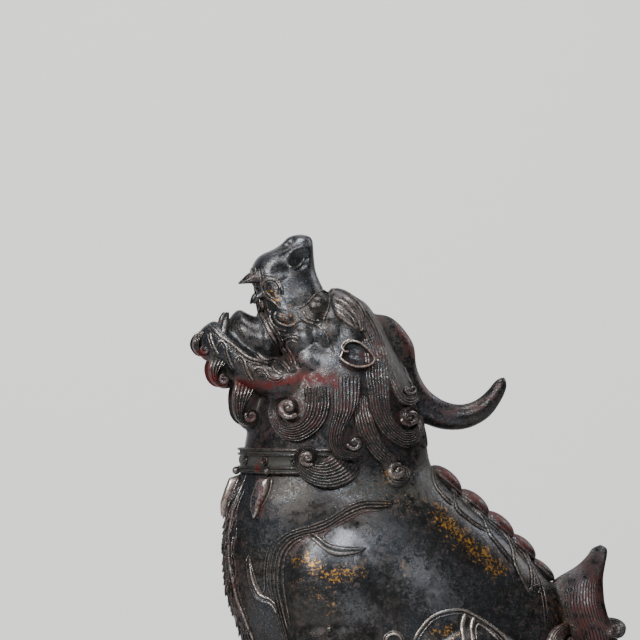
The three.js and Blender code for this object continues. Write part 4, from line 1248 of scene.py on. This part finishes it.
def patinated(name):
    """Dark bronze, bare on its crests, with dust and painted shade in its hollows, painted highlights on
    rubbed bulges, and remains of lacquer and gilding.
    """
    s = Shading(name)
    clouds, blotches = s.noise(40, 5, 0.6, 0.3), s.noise(260, 6, 0.65)
    grain, speckle = s.noise(750, 3, 0.7, 0.4), s.noise(1300, 4, 0.7)
    relief = s.mark("relief")

    brown = s.mix(s.span(blotches, 0.35, 0.65), *BROWN)
    grey = s.mix(s.span(speckle, 0.4, 0.65), *GREY)
    s.colour = s.mix(s.span(clouds, 0.4, 0.6), brown, grey)
    s.metal = 0.75
    s.rough = s.span(blotches, 0.35, 0.65, 0.2, 0.33)

    worn = s.span(s.math("ADD", relief, s.span(speckle, 0.3, 0.7, -0.35, 0.35)), 0.15, 0.9)
    s.cover(worn, BARE_BRONZE, metal=0.95, rough=0.28, opacity=0.8)

    loose = s.math("ADD", s.span(grain, 0.3, 0.7, -0.3, 0.3), s.span(blotches, 0.3, 0.7, -0.2, 0.2))
    # Rubbed bulges made brighter and smoother: partly real rubbing, partly painted highlight.
    handled_highlight = s.span(s.math("ADD", s.mark("rubbed_highlight"), loose), 0.2, 1.05)
    s.cover(handled_highlight, HANDLED_HIGHLIGHT_BRONZE, metal=1.0, rough=0.3)

    # Dust in hollows, found by curvature and occlusion, so the grooves are also darkened as painted shade.
    occlusion = s.node("ShaderNodeAmbientOcclusion", {"Distance": 0.007}, samples=8).outputs["AO"]
    hollow_and_shade = s.span(s.math("ADD", relief, s.span(occlusion, 0.15, 0.9, -1.0, 0.4)), -0.8, -0.1, 1.0, 0.0)
    settled_and_shadowed = s.span(s.math("ADD", s.mark("patina_and_shadow"), s.math("MULTIPLY", loose, 1.6)), 0.25, 1.05, 0.0, 0.85)
    dust_and_shade = s.math("MAXIMUM", s.math("MULTIPLY", hollow_and_shade, s.span(blotches, 0.3, 0.6, 0.45, 1)), settled_and_shadowed)
    s.cover(dust_and_shade, s.mix(s.span(speckle, 0.35, 0.65), *DUST_AND_SHADE), metal=0.05, rough=0.8)

    lacquer = s.mark("lacquer")
    patchy = s.math("ADD", s.span(blotches, 0.3, 0.7, -0.4, 0.4), s.span(grain, 0.3, 0.7, -0.45, 0.45))
    held = s.math("ADD", s.math("ADD", lacquer, patchy), s.math("MULTIPLY", relief, 0.2))
    red = s.mix(s.span(lacquer, 0.4, 0.85), *RED_LACQUER)
    s.cover(s.span(held, 0.25, 0.8), red, metal=0.1, rough=0.62, opacity=0.96)

    flakes = s.math("ADD", s.span(grain, 0.25, 0.75, -0.6, 0.6), s.span(blotches, 0.3, 0.7, -0.15, 0.15))
    gilt = s.span(s.math("ADD", s.mark("gilding"), flakes), 0.55, 0.8, 0.0, 0.9)
    s.cover(gilt, GOLD, metal=0.9, rough=0.4)

    normal = s.bump(speckle, 0.3, 0.0003)
    normal = s.bump(s.noise(170, 1.5, 0.5), 0.25, 0.0007, normal)
    normal = s.bump(s.noise(2600, 2, 0.5), 0.15, 0.0002, normal)
    s.fill(s.shader, {"Base Color": s.colour, "Metallic": s.metal, "Roughness": s.rough, "Normal": normal,
                      "Specular IOR Level": 0.25, "Specular Tint": (0.45, 0.45, 0.47, 1)})
    return s.material


# How bright the crests of some pieces are rubbed, where 1 is usual. Below 0 they hold dust instead.
WEAR = {
    "lion_body": 0.3, "lion_head": 0.3, "tail_flame": 0.5, "spine_plates": 0.4, "collar": 0.15,
    "flames": 0.95, "chest_hair": 0.25, "claws": 0.6, "face_lines": 0.55, "eyes": -0.6, "teeth": 0.4,
    "ears": 0.3, "ear_rims": 2,
}

PLINTH_HALF = (109, 66)
PLINTH_CORNER = 16
# The plinth from the middle of its underside round to the middle of its top: [share, inset, height].
PLINTH_SECTION = [
    [0, 3, 0], [1, 3, 0], [1, 2, 0], [1, 1.2, 0.1], [1, 0.3, 0.8], [1, 0, 1.8], [1, 0, 2.6],
    [1, 0.2, 2.9], [1, 1.2, 3.1], [1, 1.4, 3.4], [1, 1.4, 8.6], [1, 1.2, 8.9], [1, 0.2, 9.1],
    [1, 0, 9.4], [1, 0, 10.2], [1, 0.3, 11.2], [1, 1.2, 11.9], [1, 2, 12], [1, 4.8, 12], [1, 5, 11.6],
    [1, 5.5, 11.6], [1, 5.7, 12], [1, 6.6, 12], [1, 6.8, 11.6], [1, 7.3, 11.6], [1, 7.5, 12],
    [1, 8.3, 12], [0, 8.3, 12],
]


def plinth_skin():
    """The plinth's section carried round a rectangle with rounded corners."""
    section = np.array(PLINTH_SECTION)
    corners = [(1, 1), (-1, 1), (-1, -1), (1, -1)]
    quarters = [np.linspace(90 * k, 90 * k + 90, 9) for k in range(4)]
    turns = np.radians(np.concatenate([*quarters, [360]]))
    core = np.array([corner for corner in corners for _ in range(9)] + corners[:1])
    core = core * (np.array(PLINTH_HALF) - PLINTH_CORNER)
    rays = np.stack([np.cos(turns), np.sin(turns)], 1)
    rim = core + rays * PLINTH_CORNER
    travelled = np.r_[0, np.cumsum(np.linalg.norm(np.diff(rim, axis=0), axis=1))]

    def surface(u, v):
        at = np.arange(len(section)) / (len(section) - 1)
        share, inset, height = (np.interp(v, at, section[:, k]) for k in (0, 1, 2))
        where = u * travelled[-1]
        x, y = (np.interp(where, travelled, core[:, k]) for k in (0, 1))
        out_x, out_y = (np.interp(where, travelled, rays[:, k]) for k in (0, 1))
        reach = PLINTH_CORNER - inset
        return np.stack([share * (x + out_x * reach), share * (y + out_y * reach), height], 1)

    return grid(220, len(section) - 1, surface)


plinth = make("plinth_skin", [plinth_skin()])
bronze = patinated("patinated_bronze")
for piece in [body, head, *relief]:
    weathered(piece.data, rounds=6, wear=WEAR.get(piece.name, 1))
    piece.data.materials.append(bronze)
    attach(piece, "root")
    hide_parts("lion")
weathered(plinth.data, rounds=1, wear=0.5)
plinth.data.materials.append(patinated("plinth_bronze"))
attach(plinth, "root")
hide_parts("plinth")

scene = bpy.context.scene
world = bpy.data.worlds.new("studio")
scene.world = world
world.use_nodes = True
world.node_tree.nodes["Background"].inputs["Color"].default_value = (0.2, 0.2, 0.2, 1)


# The floor is level from its front to its bend, and then curves up into a wall.
FLOOR_WIDTH = 9000
FLOOR_LENGTH = 8200
FLOOR_FRONT = -3600
BEND_START = 900
BEND_RADIUS = 1600


def sweep():
    def surface(u, v):
        reach = FLOOR_LENGTH * v + FLOOR_FRONT
        turn = np.clip((reach - BEND_START) / BEND_RADIUS, 0, math.pi / 2)
        straight_up = np.maximum(0, reach - BEND_START - BEND_RADIUS * math.pi / 2)
        back = np.minimum(reach, BEND_START) + BEND_RADIUS * np.sin(turn)
        return np.stack([(u - 0.5) * FLOOR_WIDTH, back, BEND_RADIUS * (1 - np.cos(turn)) + straight_up], 1)

    return make("floor", [grid(8, 80, surface)])


floor = sweep()
paper = bpy.data.materials.new("paper")
paper.use_nodes = True
paper_shader = paper.node_tree.nodes["Principled BSDF"]
paper_shader.inputs["Base Color"].default_value = (0.62, 0.62, 0.61, 1)
paper_shader.inputs["Roughness"].default_value = 0.9
floor.data.materials.append(paper)


def softbox(name, at, target, width, height, energy):
    lamp = bpy.data.lights.new(name, "AREA")
    lamp.shape = "RECTANGLE"
    lamp.size, lamp.size_y, lamp.energy = width, height, energy
    obj = bpy.data.objects.new(name, lamp)
    scene.collection.objects.link(obj)
    obj.location = at
    obj.rotation_euler = (Vector(at) - Vector(target)).to_track_quat("Z", "Y").to_euler()


softbox("key", (-0.6, -0.6, 0.62), (-0.03, 0, 0.2), 0.2, 0.2, 19)
softbox("front", (0.0, -0.75, 0.66), (-0.01, 0, 0.17), 0.2, 0.2, 9)
softbox("rim", (0.55, 0.3, 0.6), (0.02, 0, 0.2), 0.16, 0.4, 4)
softbox("top", (-0.05, -0.1, 0.95), (0, 0, 0.2), 0.3, 0.2, 8)
softbox("backdrop", (0, 0.9, 1.9), (0, 2.6, 0.4), 2.4, 0.6, 70)

PICTURE_WIDTH = 0.32
picture_middle = RIGHT * (VIEW_MIDDLE[0] * MM) + UP * (VIEW_MIDDLE[1] * MM)
distance = VIEW_DISTANCE * MM
view = bpy.data.cameras.new("camera")
view.lens = view.sensor_width * distance / PICTURE_WIDTH
camera = bpy.data.objects.new("camera", view)
scene.collection.objects.link(camera)
camera.location = picture_middle + TO_VIEWER * distance
camera.rotation_euler = Vector(TO_VIEWER).to_track_quat("Z", "Y").to_euler()
scene.camera = camera
